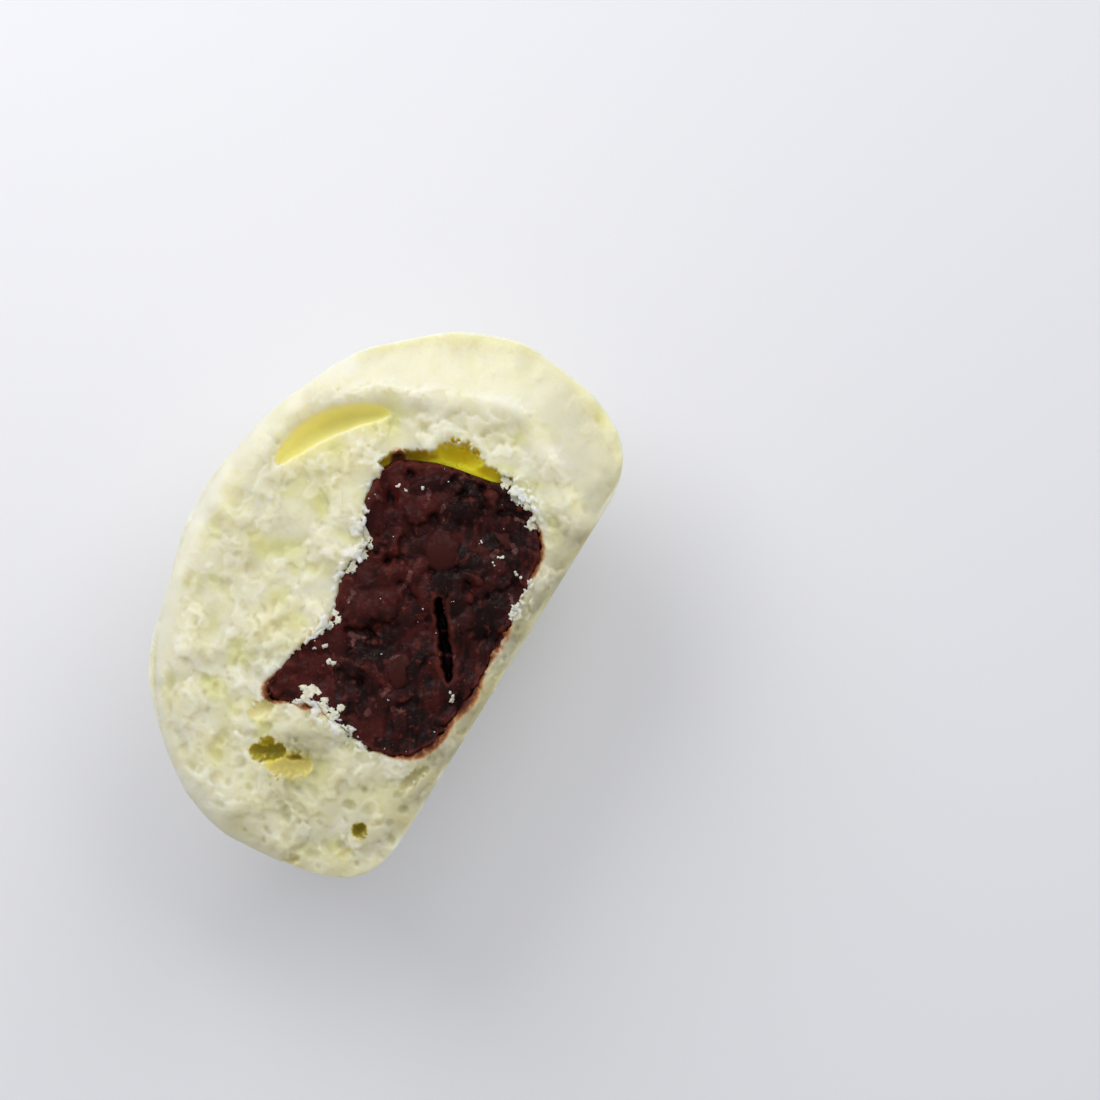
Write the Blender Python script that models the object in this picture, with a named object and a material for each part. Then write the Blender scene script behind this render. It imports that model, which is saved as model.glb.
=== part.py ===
"""Half of a steamed manju, torn open to show its sweet bean paste.

The half lies on the back of its dome with the torn face up. X runs along the bun's flat base,
Y runs from the base to the top of the dome, and Z is up. The bun's own round axis is parallel to Y.
Shapes are worked out in millimetres, as (x along the base, h above the base, z up), and then
placed in metres with the origin under the middle of the whole piece.
"""

import math

import bmesh
import bpy
import numpy as np
from mathutils import Vector, noise

MM = 0.001

# Whole bun before it was torn.
BUN_RADIUS = 47.5
BUN_CENTRE_X = 0.7
BUN_HEIGHT = 57.0
WIDEST_HEIGHT = 23.0
BASE_FLAT_RADIUS = 31.0
CORNER_HANDLES = ((45.5, 0.0), (44.8, 8.0))
BASE_RINGS = 3
CORNER_RINGS = 9
DOME_RINGS = 17
SPIN_STEPS = 68
LUMP_HEIGHT = 0.7
LUMP_SIZE = 26.0
LUMP_PLACE = 3.0
SWELLING_STRETCH = 2.0

# Soft swellings and dents in the skin, which show in the outline.
SWELLINGS = (
    # x, h, reach, height
    (-30.0, 50.0, 9.5, 1.7),
    (-17.5, 54.5, 4.5, -0.5),
    (-3.0, 57.5, 9.0, 0.8),
    (24.0, 51.5, 7.0, -0.8),
    (46.0, 14.0, 11.0, 1.5),
    (-46.0, 26.0, 16.0, 0.9),
)

# How it lies: the dome's back is pressed flat by its own weight.
AXIS_Z = 45.6
FACE_Z = 44.0

# The tear: a ridge runs beside the right rim, and the crumb falls away beyond it. Elsewhere the
# skin rounds over the rim in a soft shoulder.
RIDGE_H = (0.0, 9.5, 14.0, 21.0, 29.5, 38.0, 43.4, 48.0)
RIDGE_X = (26.0, 32.0, 35.0, 37.5, 33.4, 29.0, 27.5, 23.0)
RIDGE_LIP = 1.7
RIDGE_HALF_WIDTH = 3.0
RECESS_DEPTH = 9.0
RECESS_RUN = 11.0
RECESS_FADE_H = 53.0
RECESS_FADE_RUN = 9.0
SHOULDER_DROP = 4.0
SHOULDER_START = 0.86
CRAG_NOISE = ((13.0, 1.1, 1.7), (6.0, 0.75, 5.3), (3.2, 0.45, 9.1))
TEAR_CELL = 1.45
TEAR_MARGIN = 4.0
BLOCK_FLOOR = -6.0

# Bean paste: its outline in the tear, from the top right corner clockwise.
PASTE_OUTLINE = (
    (17.5, 34.0), (22.0, 28.0), (24.3, 18.5), (25.6, 13.0), (20.0, 6.2), (12.0, 4.0),
    (0.0, 3.1), (-12.0, 3.3), (-19.5, 6.0), (-22.3, 12.0), (-21.3, 22.0), (-23.2, 30.8),
    (-15.0, 30.6), (-8.0, 28.6), (0.0, 30.7), (5.0, 29.9), (8.5, 32.7),
)
PASTE_STEPS = 5
PASTE_CENTRE = (0.5, 14.0)
PASTE_DEPTH = 24.0
PASTE_RINGS = 7
PASTE_GAP = 0.32
PASTE_LEVEL = -0.3
PASTE_NOISE = ((9.0, 1.3, 21.0), (4.4, 0.9, 27.0), (2.6, 0.5, 33.0))
PASTE_CELL = 1.25
BEANS = (
    # x, h, long half, short half, angle in degrees, rise
    (11.2, 19.0, 3.7, 3.1, 25.0, 1.5),
    (16.5, 12.0, 3.2, 2.3, -50.0, 1.2),
    (4.1, 8.5, 3.3, 2.4, 70.0, 1.0),
    (-9.5, 15.0, 3.4, 2.4, 10.0, 1.1),
    (-18.5, 25.5, 3.1, 2.3, 80.0, 0.9),
    (15.5, 27.5, 3.2, 2.2, -20.0, 0.9),
)
CRACK = ((3.8, 15.3), (-6.0, 7.3))
CRACK_HALF_WIDTH = 1.6
CRACK_DEPTH = 2.6

# Air pockets that open in the tear: start, middle, end, half width, depth.
POCKETS = {
    "crescent_pocket": ((8.8, 49.4), (18.8, 45.8), (25.8, 37.8), 2.1, 5.5),
    "paste_gap_pocket": ((18.6, 35.2), (25.5, 26.2), (25.8, 15.8), 2.1, 7.0),
    "deep_hole": ((-33.1, 28.8), (-31.5, 26.1), (-30.0, 23.5), 1.8, 4.4),
    "shallow_hole": ((-32.6, 24.2), (-31.2, 21.6), (-29.6, 19.2), 1.7, 2.2),
    "small_hole": ((-35.9, 7.1), (-34.6, 6.7), (-33.3, 6.2), 1.2, 2.4),
}
POCKET_TURNS = 10
POCKET_RINGS = 9

# Cuts leave points closer together than this, which are merged.
SLIVER = 0.06
# Points that the spin leaves in the same place are merged too.
SPIN_WELD = 0.001

SKIN_COLOUR = (0.82, 0.79, 0.58)
SKIN_ROUGHNESS = 0.75
PASTE_COLOUR = (0.045, 0.016, 0.014)
PASTE_ROUGHNESS = 0.4
SHARP_ANGLE = 50.0


def smooth_step(value):
    t = min(max(value, 0.0), 1.0)
    return t * t * (3.0 - 2.0 * t)


def bezier(start, first, second, end, t):
    """Point at t on a cubic Bezier curve."""
    s = 1.0 - t
    return tuple(
        s**3 * a + 3 * s * s * t * b + 3 * s * t * t * c + t**3 * d
        for a, b, c, d in zip(start, first, second, end)
    )


def bun_profile():
    """(radius, height) from the middle of the flat base to the top of the dome."""
    points = [(BASE_FLAT_RADIUS * i / BASE_RINGS, 0.0) for i in range(BASE_RINGS)]
    flat_edge = (BASE_FLAT_RADIUS, 0.0)
    widest = (BUN_RADIUS, WIDEST_HEIGHT)
    for i in range(CORNER_RINGS):
        points.append(bezier(flat_edge, *CORNER_HANDLES, widest, i / CORNER_RINGS))
    for i in range(DOME_RINGS):
        angle = math.pi / 2 * i / DOME_RINGS
        rise = (BUN_HEIGHT - WIDEST_HEIGHT) * math.sin(angle)
        points.append((BUN_RADIUS * math.cos(angle), WIDEST_HEIGHT + rise))
    points.append((0.0, BUN_HEIGHT))
    return points


def bumps(x, y, z, layers):
    """Sum of noise layers, each (size of a bump, height, place in the noise)."""
    return sum(
        height * noise.noise(Vector((x / size + place, y / size - place, z / size)))
        for size, height, place in layers
    )


def swelling(x, h, z):
    """How far the skin stands out at the swellings and dents round the torn face."""
    deep = (z - FACE_Z) / SWELLING_STRETCH
    return sum(
        height * math.exp(-((x - at_x) ** 2 + (h - at_h) ** 2 + deep**2) / reach**2)
        for at_x, at_h, reach, height in SWELLINGS
    )


def rim_nearness(x, h):
    """0 in the middle of the bun and 1 at its skin."""
    across = (x - BUN_CENTRE_X) / BUN_RADIUS
    if h < WIDEST_HEIGHT:
        return abs(across)
    return math.hypot(across, (h - WIDEST_HEIGHT) / (BUN_HEIGHT - WIDEST_HEIGHT))


def tear_height(x, h):
    """Height of the torn crumb above the level of the tear."""
    beyond = x - float(np.interp(h, RIDGE_H, RIDGE_X))
    fade = smooth_step((RECESS_FADE_H - h) / RECESS_FADE_RUN)
    fallen = smooth_step(beyond / RECESS_RUN) * fade
    lip = RIDGE_LIP * math.exp(-((beyond / RIDGE_HALF_WIDTH) ** 2)) * fade
    over = min(max((rim_nearness(x, h) - SHOULDER_START) / (1.0 - SHOULDER_START), 0.0), 1.0)
    shoulder = SHOULDER_DROP * (1.0 - math.sqrt(1.0 - over * over)) * (1.0 - fallen)
    return lip - RECESS_DEPTH * fallen - shoulder + bumps(x, h, 0.0, CRAG_NOISE)


def bean_rise(x, h):
    """Rounded tops of the whole beans that stand out of the paste."""
    rise = 0.0
    for bean_x, bean_h, long_half, short_half, angle, height in BEANS:
        turn = math.radians(angle)
        along = (x - bean_x) * math.cos(turn) + (h - bean_h) * math.sin(turn)
        across = (h - bean_h) * math.cos(turn) - (x - bean_x) * math.sin(turn)
        inside = 1.0 - (along / long_half) ** 2 - (across / short_half) ** 2
        rise = max(rise, height * math.sqrt(max(inside, 0.0)))
    return rise


def crack_drop(x, h):
    """Depth of the split that runs down the paste."""
    start, end = (Vector(p) for p in CRACK)
    way = end - start
    t = min(max((Vector((x, h)) - start).dot(way) / way.length_squared, 0.0), 1.0)
    away = (Vector((x, h)) - start - way * t).length
    return CRACK_DEPTH * math.exp(-((away / CRACK_HALF_WIDTH) ** 2))


def paste_height(x, h):
    """Height of the paste's torn top above the level of the tear."""
    lumps = bumps(x, h, 0.0, PASTE_NOISE)
    return PASTE_LEVEL + lumps + bean_rise(x, h) - crack_drop(x, h)


def new_object(name, bm):
    """A named object with this mesh, its normals pointing out."""
    bmesh.ops.recalc_face_normals(bm, faces=bm.faces)
    mesh = bpy.data.meshes.new(name)
    bm.to_mesh(mesh)
    bm.free()
    obj = bpy.data.objects.new(name, mesh)
    bpy.context.scene.collection.objects.link(obj)
    return obj


def helper(name, bm):
    """A cutter, which isn't part of the model."""
    obj = new_object(name, bm)
    obj.hide_render = True
    obj.display_type = "WIRE"
    return obj


def drop_scraps(bm):
    """Keeps the largest connected piece of the mesh."""
    pieces = []
    left = set(bm.verts)
    while left:
        piece = set()
        front = [left.pop()]
        while front:
            vert = front.pop()
            piece.add(vert)
            near = {edge.other_vert(vert) for edge in vert.link_edges} & left
            left -= near
            front.extend(near)
        pieces.append(piece)
    largest = max(pieces, key=len)
    scraps = [vert for vert in bm.verts if vert not in largest]
    bmesh.ops.delete(bm, geom=scraps, context="VERTS")


def apply_boolean(obj, cutters, operation):
    """Joins obj with, cuts it by or keeps what it shares with each cutter, and drops the cutters."""
    for cutter in cutters:
        boolean = obj.modifiers.new(cutter.name, "BOOLEAN")
        boolean.operation = operation
        boolean.solver = "EXACT"
        boolean.object = cutter
    graph = bpy.context.evaluated_depsgraph_get()
    result = bpy.data.meshes.new_from_object(obj.evaluated_get(graph))
    obj.modifiers.clear()
    bm = bmesh.new()
    bm.from_mesh(result)
    bmesh.ops.remove_doubles(bm, verts=bm.verts, dist=SLIVER * MM)
    bmesh.ops.dissolve_degenerate(bm, edges=bm.edges, dist=SLIVER * MM)
    drop_scraps(bm)
    bm.to_mesh(result)
    bm.free()
    obj.data = result
    for cutter in cutters:
        bpy.data.objects.remove(cutter)


def material(name, colour, roughness):
    made = bpy.data.materials.new(name)
    made.use_nodes = True
    shader = made.node_tree.nodes["Principled BSDF"]
    shader.inputs["Base Color"].default_value = (*colour, 1.0)
    shader.inputs["Roughness"].default_value = roughness
    shader.inputs["Metallic"].default_value = 0.0
    return made


def whole_bun():
    """The round bun: its profile spun about the bun's axis, with soft lumps, swellings and dents."""
    bm = bmesh.new()
    line = [bm.verts.new(Vector((BUN_CENTRE_X + r, h, AXIS_Z)) * MM) for r, h in bun_profile()]
    edges = [bm.edges.new(pair) for pair in zip(line, line[1:])]
    bmesh.ops.spin(
        bm, geom=line + edges, cent=Vector((BUN_CENTRE_X, 0.0, AXIS_Z)) * MM,
        axis=(0.0, 1.0, 0.0), angle=math.tau, steps=SPIN_STEPS,
    )
    bmesh.ops.remove_doubles(bm, verts=bm.verts, dist=SPIN_WELD * MM)
    bmesh.ops.recalc_face_normals(bm, faces=bm.faces)
    bm.normal_update()
    for vert in bm.verts:
        x, h, z = vert.co / MM
        lump = bumps(x, h, z, ((LUMP_SIZE, LUMP_HEIGHT, LUMP_PLACE),)) * smooth_step(h / WIDEST_HEIGHT)
        vert.co += vert.normal * (lump + swelling(x, h, z)) * MM
        vert.co.z = max(vert.co.z, 0.0)
    return new_object("bun", bm)


def relief_block(name, low, high, cell, height):
    """A block whose top is height(x, h) above the level of the tear, for cutting a torn face."""
    size_x, size_h = high[0] - low[0], high[1] - low[1]
    bm = bmesh.new()
    bmesh.ops.create_grid(
        bm, x_segments=round(size_x / cell), y_segments=round(size_h / cell), size=0.5,
    )
    for vert in bm.verts:
        x = low[0] + (vert.co.x + 0.5) * size_x
        h = low[1] + (vert.co.y + 0.5) * size_h
        vert.co = Vector((x, h, FACE_Z + height(x, h))) * MM
    below = bmesh.ops.extrude_face_region(bm, geom=bm.faces[:])["geom"]
    for vert in below:
        if isinstance(vert, bmesh.types.BMVert):
            vert.co.z = BLOCK_FLOOR * MM
    return helper(name, bm)


def bridge(bm, loops):
    """Quads between each closed loop of points and the next."""
    for lower, upper in zip(loops, loops[1:]):
        for i in range(len(lower)):
            j = (i + 1) % len(lower)
            bm.faces.new((lower[i], lower[j], upper[j], upper[i]))


def close_with_point(bm, loop, place):
    """A fan of triangles from a closed loop to one point."""
    pole = bm.verts.new(place)
    for i in range(len(loop)):
        bm.faces.new((loop[i], loop[(i + 1) % len(loop)], pole))


def smooth_outline():
    """The paste's outline, as a closed Catmull-Rom curve through its points."""
    points = [Vector(p) for p in PASTE_OUTLINE]
    count = len(points)
    curve = []
    for i in range(count):
        before, start, end, after = (points[(i + k) % count] for k in (-1, 0, 1, 2))
        for step in range(PASTE_STEPS):
            t = step / PASTE_STEPS
            curve.append(
                0.5
                * (
                    2.0 * start
                    + (end - before) * t
                    + (2.0 * before - 5.0 * start + 4.0 * end - after) * t * t
                    + (3.0 * start - before - 3.0 * end + after) * t**3
                )
            )
    return curve


def paste_ball(name, grow):
    """The whole ball of paste, both sides of the tear, made grow millimetres larger all round."""
    centre = Vector(PASTE_CENTRE)
    outline = smooth_outline()
    bm = bmesh.new()
    loops = []
    for ring in range(1 - PASTE_RINGS, PASTE_RINGS):
        angle = math.pi / 2 * ring / PASTE_RINGS
        loop = []
        for point in outline:
            away = point - centre
            flat = away * math.cos(angle) + away.normalized() * grow * math.cos(angle)
            z = FACE_Z + (PASTE_DEPTH + grow) * math.sin(angle)
            loop.append(bm.verts.new(Vector((centre.x + flat.x, centre.y + flat.y, z)) * MM))
        loops.append(loop)
    bridge(bm, loops)
    for loop, side in ((loops[0], -1), (loops[-1], 1)):
        pole_z = FACE_Z + side * (PASTE_DEPTH + grow)
        close_with_point(bm, loop, Vector((centre.x, centre.y, pole_z)) * MM)
    return new_object(name, bm)


def pocket(name, start, middle, end, half_width, depth):
    """A rounded pod, bent along start, middle and end, that cuts a pocket into the torn face."""
    start, middle, end = Vector(start), Vector(middle), Vector(end)
    handle = 2.0 * middle - (start + end) / 2.0
    level = FACE_Z + tear_height(*middle)
    bm = bmesh.new()
    loops = []
    for ring in range(1, POCKET_RINGS + 1):
        angle_along = math.pi * ring / (POCKET_RINGS + 1)
        swell = math.sin(angle_along)
        t = (1.0 - math.cos(angle_along)) / 2.0
        place = start * (1 - t) ** 2 + handle * 2 * t * (1 - t) + end * t * t
        way = (handle - start) * (1 - t) + (end - handle) * t
        side = Vector((-way.y, way.x)).normalized()
        loop = []
        for turn in range(POCKET_TURNS):
            angle = math.tau * turn / POCKET_TURNS
            across = place + side * half_width * swell * math.cos(angle)
            z = level + depth * swell * math.sin(angle)
            loop.append(bm.verts.new(Vector((across.x, across.y, z)) * MM))
        loops.append(loop)
    bridge(bm, loops)
    for loop, tip in ((loops[0], start), (loops[-1], end)):
        close_with_point(bm, loop, Vector((tip.x, tip.y, level)) * MM)
    return helper(name, bm)


def torn_bun():
    """The half bun: torn face, hollow for the paste and air pockets."""
    bun = whole_bun()
    reach = BUN_RADIUS + TEAR_MARGIN
    tear = relief_block(
        "tear", (-reach, -TEAR_MARGIN), (reach, BUN_HEIGHT + TEAR_MARGIN), TEAR_CELL, tear_height,
    )
    apply_boolean(bun, [tear], "INTERSECT")
    hollow = paste_ball("paste_hollow", PASTE_GAP)
    pockets = [pocket(name, *shape) for name, shape in POCKETS.items()]
    apply_boolean(bun, [hollow] + pockets, "DIFFERENCE")
    bun.data.materials.clear()
    bun.data.materials.append(material("steamed_dough", SKIN_COLOUR, SKIN_ROUGHNESS))
    return bun


def bean_paste():
    """The filling, torn through with the bun, with whole beans in relief."""
    paste = paste_ball("bean_paste", 0.0)
    xs, hs = zip(*PASTE_OUTLINE)
    low = (min(xs) - TEAR_MARGIN, min(hs) - TEAR_MARGIN)
    high = (max(xs) + TEAR_MARGIN, max(hs) + TEAR_MARGIN)
    top = relief_block("paste_top", low, high, PASTE_CELL, paste_height)
    apply_boolean(paste, [top], "INTERSECT")
    paste.data.materials.clear()
    paste.data.materials.append(material("sweet_bean_paste", PASTE_COLOUR, PASTE_ROUGHNESS))
    return paste


def place_origin(pieces):
    """Parents the pieces to an empty that sets the origin under the middle of their box."""
    corners = np.array([v.co for piece in pieces for v in piece.data.vertices])
    low, high = corners.min(axis=0), corners.max(axis=0)
    origin = bpy.data.objects.new("manju_half", None)
    bpy.context.scene.collection.objects.link(origin)
    origin.location = (-(low[0] + high[0]) / 2, -(low[1] + high[1]) / 2, -low[2])
    for piece in pieces:
        piece.parent = origin
        piece.data.shade_smooth()
        piece.data.set_sharp_from_angle(angle=math.radians(SHARP_ANGLE))


def main():
    for obj in list(bpy.data.objects):
        bpy.data.objects.remove(obj)
    place_origin([torn_bun(), bean_paste()])


main()
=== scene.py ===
import math

import bmesh
import bpy
import numpy as np
from mathutils import Euler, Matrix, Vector, noise
from mathutils.geometry import delaunay_2d_cdt


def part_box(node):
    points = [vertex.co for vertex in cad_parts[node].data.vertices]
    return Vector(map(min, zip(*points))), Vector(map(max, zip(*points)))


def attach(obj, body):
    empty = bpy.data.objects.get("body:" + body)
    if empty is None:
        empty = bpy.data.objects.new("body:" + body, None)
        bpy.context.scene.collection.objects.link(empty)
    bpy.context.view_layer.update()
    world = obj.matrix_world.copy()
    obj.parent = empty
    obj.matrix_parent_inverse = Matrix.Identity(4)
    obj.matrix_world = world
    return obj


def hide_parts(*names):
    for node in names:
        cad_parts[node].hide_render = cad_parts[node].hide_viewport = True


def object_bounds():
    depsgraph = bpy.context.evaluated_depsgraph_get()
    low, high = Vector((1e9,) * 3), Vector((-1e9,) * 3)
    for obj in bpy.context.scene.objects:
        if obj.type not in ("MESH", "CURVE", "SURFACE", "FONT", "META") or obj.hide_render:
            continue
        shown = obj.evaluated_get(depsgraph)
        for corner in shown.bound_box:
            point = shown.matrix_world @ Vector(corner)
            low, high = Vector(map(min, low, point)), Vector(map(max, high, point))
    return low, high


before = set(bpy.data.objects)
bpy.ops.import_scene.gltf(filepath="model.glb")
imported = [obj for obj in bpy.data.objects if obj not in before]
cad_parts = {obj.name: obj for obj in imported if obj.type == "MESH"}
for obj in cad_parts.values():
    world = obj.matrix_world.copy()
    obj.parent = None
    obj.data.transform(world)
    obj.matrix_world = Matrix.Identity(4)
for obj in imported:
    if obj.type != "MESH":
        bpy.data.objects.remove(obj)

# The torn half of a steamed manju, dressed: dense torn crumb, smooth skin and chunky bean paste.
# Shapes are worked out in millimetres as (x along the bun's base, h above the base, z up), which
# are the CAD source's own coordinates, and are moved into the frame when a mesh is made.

MM = 0.001
SEED = 7
CAD_LOW, CAD_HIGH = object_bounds()
PASTE_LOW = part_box("bean_paste")[0]

# The bun, as in the CAD source.
BUN_RADIUS = 47.5
BUN_CENTRE_X = 0.7
BUN_HEIGHT = 57.0
WIDEST_HEIGHT = 23.0
BASE_FLAT_RADIUS = 31.0
CORNER_HANDLES = ((45.5, 0.0), (44.8, 8.0))
LUMP_HEIGHT = 0.7
LUMP_SIZE = 26.0
LUMP_PLACE = 3.0
SWELLINGS = (
    # x, h, reach, height
    (-30.0, 50.0, 9.5, 1.7),
    (-17.5, 54.5, 4.5, -0.5),
    (-3.0, 57.5, 9.0, 0.8),
    (24.0, 51.5, 7.0, -0.8),
    (46.0, 14.0, 11.0, 1.5),
    (-46.0, 26.0, 16.0, 0.9),
)
AXIS_Z = 45.6
FACE_Z = 44.0

# The tear, as in the CAD source.
RIDGE_H = (0.0, 9.5, 14.0, 21.0, 29.5, 38.0, 43.4, 48.0)
RIDGE_X = (26.0, 32.0, 35.0, 37.5, 33.4, 29.0, 27.5, 23.0)
RIDGE_SMOOTHING = (-4.5, -3.0, -1.5, 0.0, 1.5, 3.0, 4.5)
RIDGE_LIP = 1.7
RIDGE_HALF_WIDTH = 3.0
RECESS_DEPTH = 9.0
RECESS_RUN = 11.0
RECESS_FADE_H = 53.0
RECESS_FADE_RUN = 9.0
SHOULDER_DROP = 4.0
SHOULDER_START = 0.86
CRAG_NOISE = ((13.0, 1.1, 1.7), (6.0, 0.75, 5.3), (3.2, 0.45, 9.1))

# The paste, as in the CAD source.
PASTE_OUTLINE = (
    (17.5, 34.0), (22.0, 28.0), (24.3, 18.5), (25.6, 13.0), (20.0, 6.2), (12.0, 4.0),
    (0.0, 3.1), (-12.0, 3.3), (-19.5, 6.0), (-22.3, 12.0), (-21.3, 22.0), (-23.2, 30.8),
    (-15.0, 30.6), (-8.0, 28.6), (0.0, 30.7), (5.0, 29.9), (8.5, 32.7),
)
PASTE_STEPS = 12
PASTE_CENTRE = (0.5, 14.0)
PASTE_DEPTH = 24.0
PASTE_GAP = 0.32
PASTE_LEVEL = -0.3
PASTE_NOISE = ((9.0, 1.3, 21.0), (4.4, 0.9, 27.0), (2.6, 0.5, 33.0))
BEANS = (
    # x, h, long half, short half, angle in degrees, rise
    (11.2, 19.0, 3.7, 3.1, 25.0, 1.5),
    (16.5, 12.0, 3.2, 2.3, -50.0, 1.2),
    (4.1, 8.5, 3.3, 2.4, 70.0, 1.0),
    (-9.5, 15.0, 3.4, 2.4, 10.0, 1.1),
    (-18.5, 25.5, 3.1, 2.3, 80.0, 0.9),
    (15.5, 27.5, 3.2, 2.2, -20.0, 0.9),
)
CRACK = ((3.8, 15.3), (-6.0, 7.3))
CRACK_HALF_WIDTH = 1.3
CRACK_WALL = 0.7
CRACK_DEPTH = 4.2
PASTE_PITS = (
    # x, h, reach
    (-5.4, 21.5, 1.5), (2.4, 6.3, 1.4), (14.0, 30.8, 1.6), (5.5, 25.0, 1.2), (-14.0, 19.0, 1.0),
    (20.5, 17.0, 1.1), (8.5, 12.5, 1.0),
)
POCKETS = (
    # start, middle, end, half width, depth, yellowness of the painted glow
    ((8.8, 49.4), (18.8, 45.8), (25.8, 37.8), 2.1, 4.0, 0.30),
    ((18.6, 35.0), (22.2, 30.0), (24.6, 25.4), 1.2, 3.8, 0.80),
    ((22.8, 28.2), (25.4, 24.6), (25.0, 20.4), 2.5, 4.2, 0.70),
    ((24.6, 22.6), (25.5, 19.2), (25.4, 15.8), 1.3, 3.6, 0.74),
    ((-33.1, 28.8), (-31.5, 26.1), (-30.0, 23.5), 1.9, 3.4, 1.0),
    ((-31.9, 27.6), (-30.6, 27.0), (-29.3, 26.2), 1.0, 2.4, 0.9),
    ((-33.3, 25.4), (-31.6, 22.0), (-29.8, 18.6), 2.1, 1.5, 0.38),
    ((-31.0, 23.2), (-30.2, 22.0), (-29.7, 20.6), 0.7, 2.6, 0.55),
    ((-35.9, 7.1), (-34.6, 6.7), (-33.3, 6.2), 1.3, 2.0, 1.0),
    ((-26.0, 4.6), (-22.8, 3.7), (-20.0, 2.4), 0.9, 0.9, 0.08),
    ((-28.4, 31.6), (-26.4, 30.6), (-24.6, 29.2), 1.4, 0.9, 0.12),
    ((-40.3, 7.4), (-39.0, 6.9), (-37.9, 6.2), 0.9, 0.8, 0.08),
    ((-46.0, 14.9), (-44.7, 13.7), (-43.4, 12.6), 0.9, 1.6, 0.06),
)
# Random waves here and below are layers of size, height and seed.
POCKET_TORN = ((1.1, 0.45, 31), (0.5, 0.42, 34))
POCKET_SMOOTH = ((3.5, 0.08, 35),)
POCKET_STEPS = 60
POCKET_HALO = 1.35
POCKET_CORE = 0.7
TORN_STEEPNESS = 0.85
SMOOTH_STEEPNESS = 0.5
STAINS = (
    # x, h, reach, strength
    (-16.3, 6.0, 5.0, 1.0), (-7.0, 4.0, 4.5, 0.8), (3.0, 3.3, 4.0, 0.45), (-23.0, 30.6, 3.0, 0.8),
    (-21.8, 24.0, 2.6, 0.5), (18.6, 6.4, 4.5, 0.6), (21.0, 33.8, 2.2, 1.0), (-9.6, 31.0, 2.4, 0.5),
)
STAIN_BASE = 0.25
STAIN_REACHES = (0.4, 3.2)
# The thin web of dough between the paste and the pockets beside it has gone.
WEB_REACH = 1.0
WEB_WIDTH = 1.5
WEB_FROM_X = 15.0
WEB_DROP = 2.8
# Yellowness of the glow painted in the gap beside the paste.
WEB_GLOW = 0.8
# Spots where shade is painted on the crumb.
SHADY_SPOTS = (
    # x, h, reach, strength
    (-31.4, 22.0, 4.2, 1.0), (-34.6, 6.7, 2.4, 0.3),
)

# The crumb's finer relief.
CRUMB_CELL = 0.13
CRUMB_SPACING = 0.25
SKIN_SPACING = 0.6
HOLLOW_SPACING = 2.0
PUFFS = ((7.0, 0.62, 11), (3.4, 0.30, 12), (1.6, 0.09, 13))
CELLS = ((2.1, 0.08, 61), (1.15, 0.045, 62), (0.62, 0.03, 63))
GRAIN = ((0.55, 0.025, 14), (0.32, 0.02, 15))
# Slow waves that move borders, and fine ones that fray them.
WANDER = ((5.0, 1.0, 21), (1.8, 0.5, 22))
FLECK = ((0.9, 1.0, 23), (0.45, 0.6, 24))
CELL_WARP_X = ((2.6, 0.5, 41),)
CELL_WARP_H = ((2.6, 0.5, 42),)
CELL_SQUASH = 1.2
LEDGES = (
    # size, where each starts in the waves, height, seed
    (6.5, 0.05, 0.36, 71), (6.5, 0.50, 0.30, 71), (4.0, 0.35, 0.22, 72),
)
# The skin starts at this nearness to the rim, and this high above the base.
SKIN_START = 0.86
SKIN_RUN = 0.12
BASE_SKIN_HEIGHT = 0.9
PORE_COUNT = 2600
PORE_RADII = (0.22, 1.15)
PORE_SKEW = 3.6
PORE_DEPTHS = (0.15, 0.48)
PORE_STRETCH = (1.0, 2.1)
PORE_TURN = 0.5
PORE_STEEPNESS = 0.7
SMALL_PORES = 0.6
SMALL_PORES_FROM = (-12.0, 9.0)
# The close crumb at the low end is flatter, with deeper pores, and comes nearer to the rim.
CLOSE_FROM_X = -25.0
CLOSE_RUN = 8.0
CLOSE_FLATNESS = 0.55
CLOSE_PORE_DEPTH = 1.35
CLOSE_SKIN_SHIFT = 0.06
SHELF_RISE = 0.6
# The tufts, and the ragged edge of the paste's hollow.
SNOW = ((2.0, 1.0, 81), (0.8, 0.6, 82))
CLOTS = ((0.5, 0.22, 83),)
CLOT_SIZE = 0.9
HOLLOW_RAGGED = ((1.9, 0.036, 32), (0.9, 0.024, 33), (0.5, 0.012, 36))
EDGE_ROUNDING = 0.6
EDGE_RUN = 0.8
EDGE_RAGGED = 1.3
HOLLOW_DROP = 4.0
FRAY_SPOTS = (
    (-22.2, 21.6), (-22.0, 17.0), (2.3, 32.0), (26.2, 14.0), (-9.0, 30.5), (6.5, 31.5), (24.8, 11.0),
    (10.5, 4.6),
)
FRAY_REACH = 4.5

# What the dough's colour follows, as point attributes of its mesh.
ATTRIBUTES = ("skin", "hollow", "pit_shade", "puff_highlight", "pocket_glow", "opened", "fallen", "tuft", "stain", "painted_shade")

# The skin's mesh: points round the rim, and rows from there down to the bottom.
RIM_POINTS = 640
RIM_STEPS = 2400
# Rays are followed by halving, out to FARTHEST, and the rim is looked for between two dips.
FARTHEST = 90.0
HALVINGS = 34
RIM_DIPS = (-0.30, 0.80)
RIM_HALVINGS = 24
SKIN_ROWS = (
    # share of the way down, points round
    (0.006, 640), (0.018, 640), (0.036, 320), (0.062, 320), (0.095, 160), (0.135, 160),
    (0.18, 160), (0.23, 160), (0.28, 160), (0.33, 160), (0.38, 160), (0.43, 160), (0.48, 160),
    (0.53, 160), (0.58, 160), (0.63, 160), (0.68, 160), (0.73, 160), (0.78, 80), (0.83, 80),
    (0.88, 80), (0.925, 40), (0.96, 40), (0.985, 20),
)
FACE_MIDDLE = (0.0, 25.0)
CLEAR_OF_RIM = 0.994
SMOOTH_SKIN = 0.97
DEEP_IN_HOLLOW = -2.2

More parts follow.
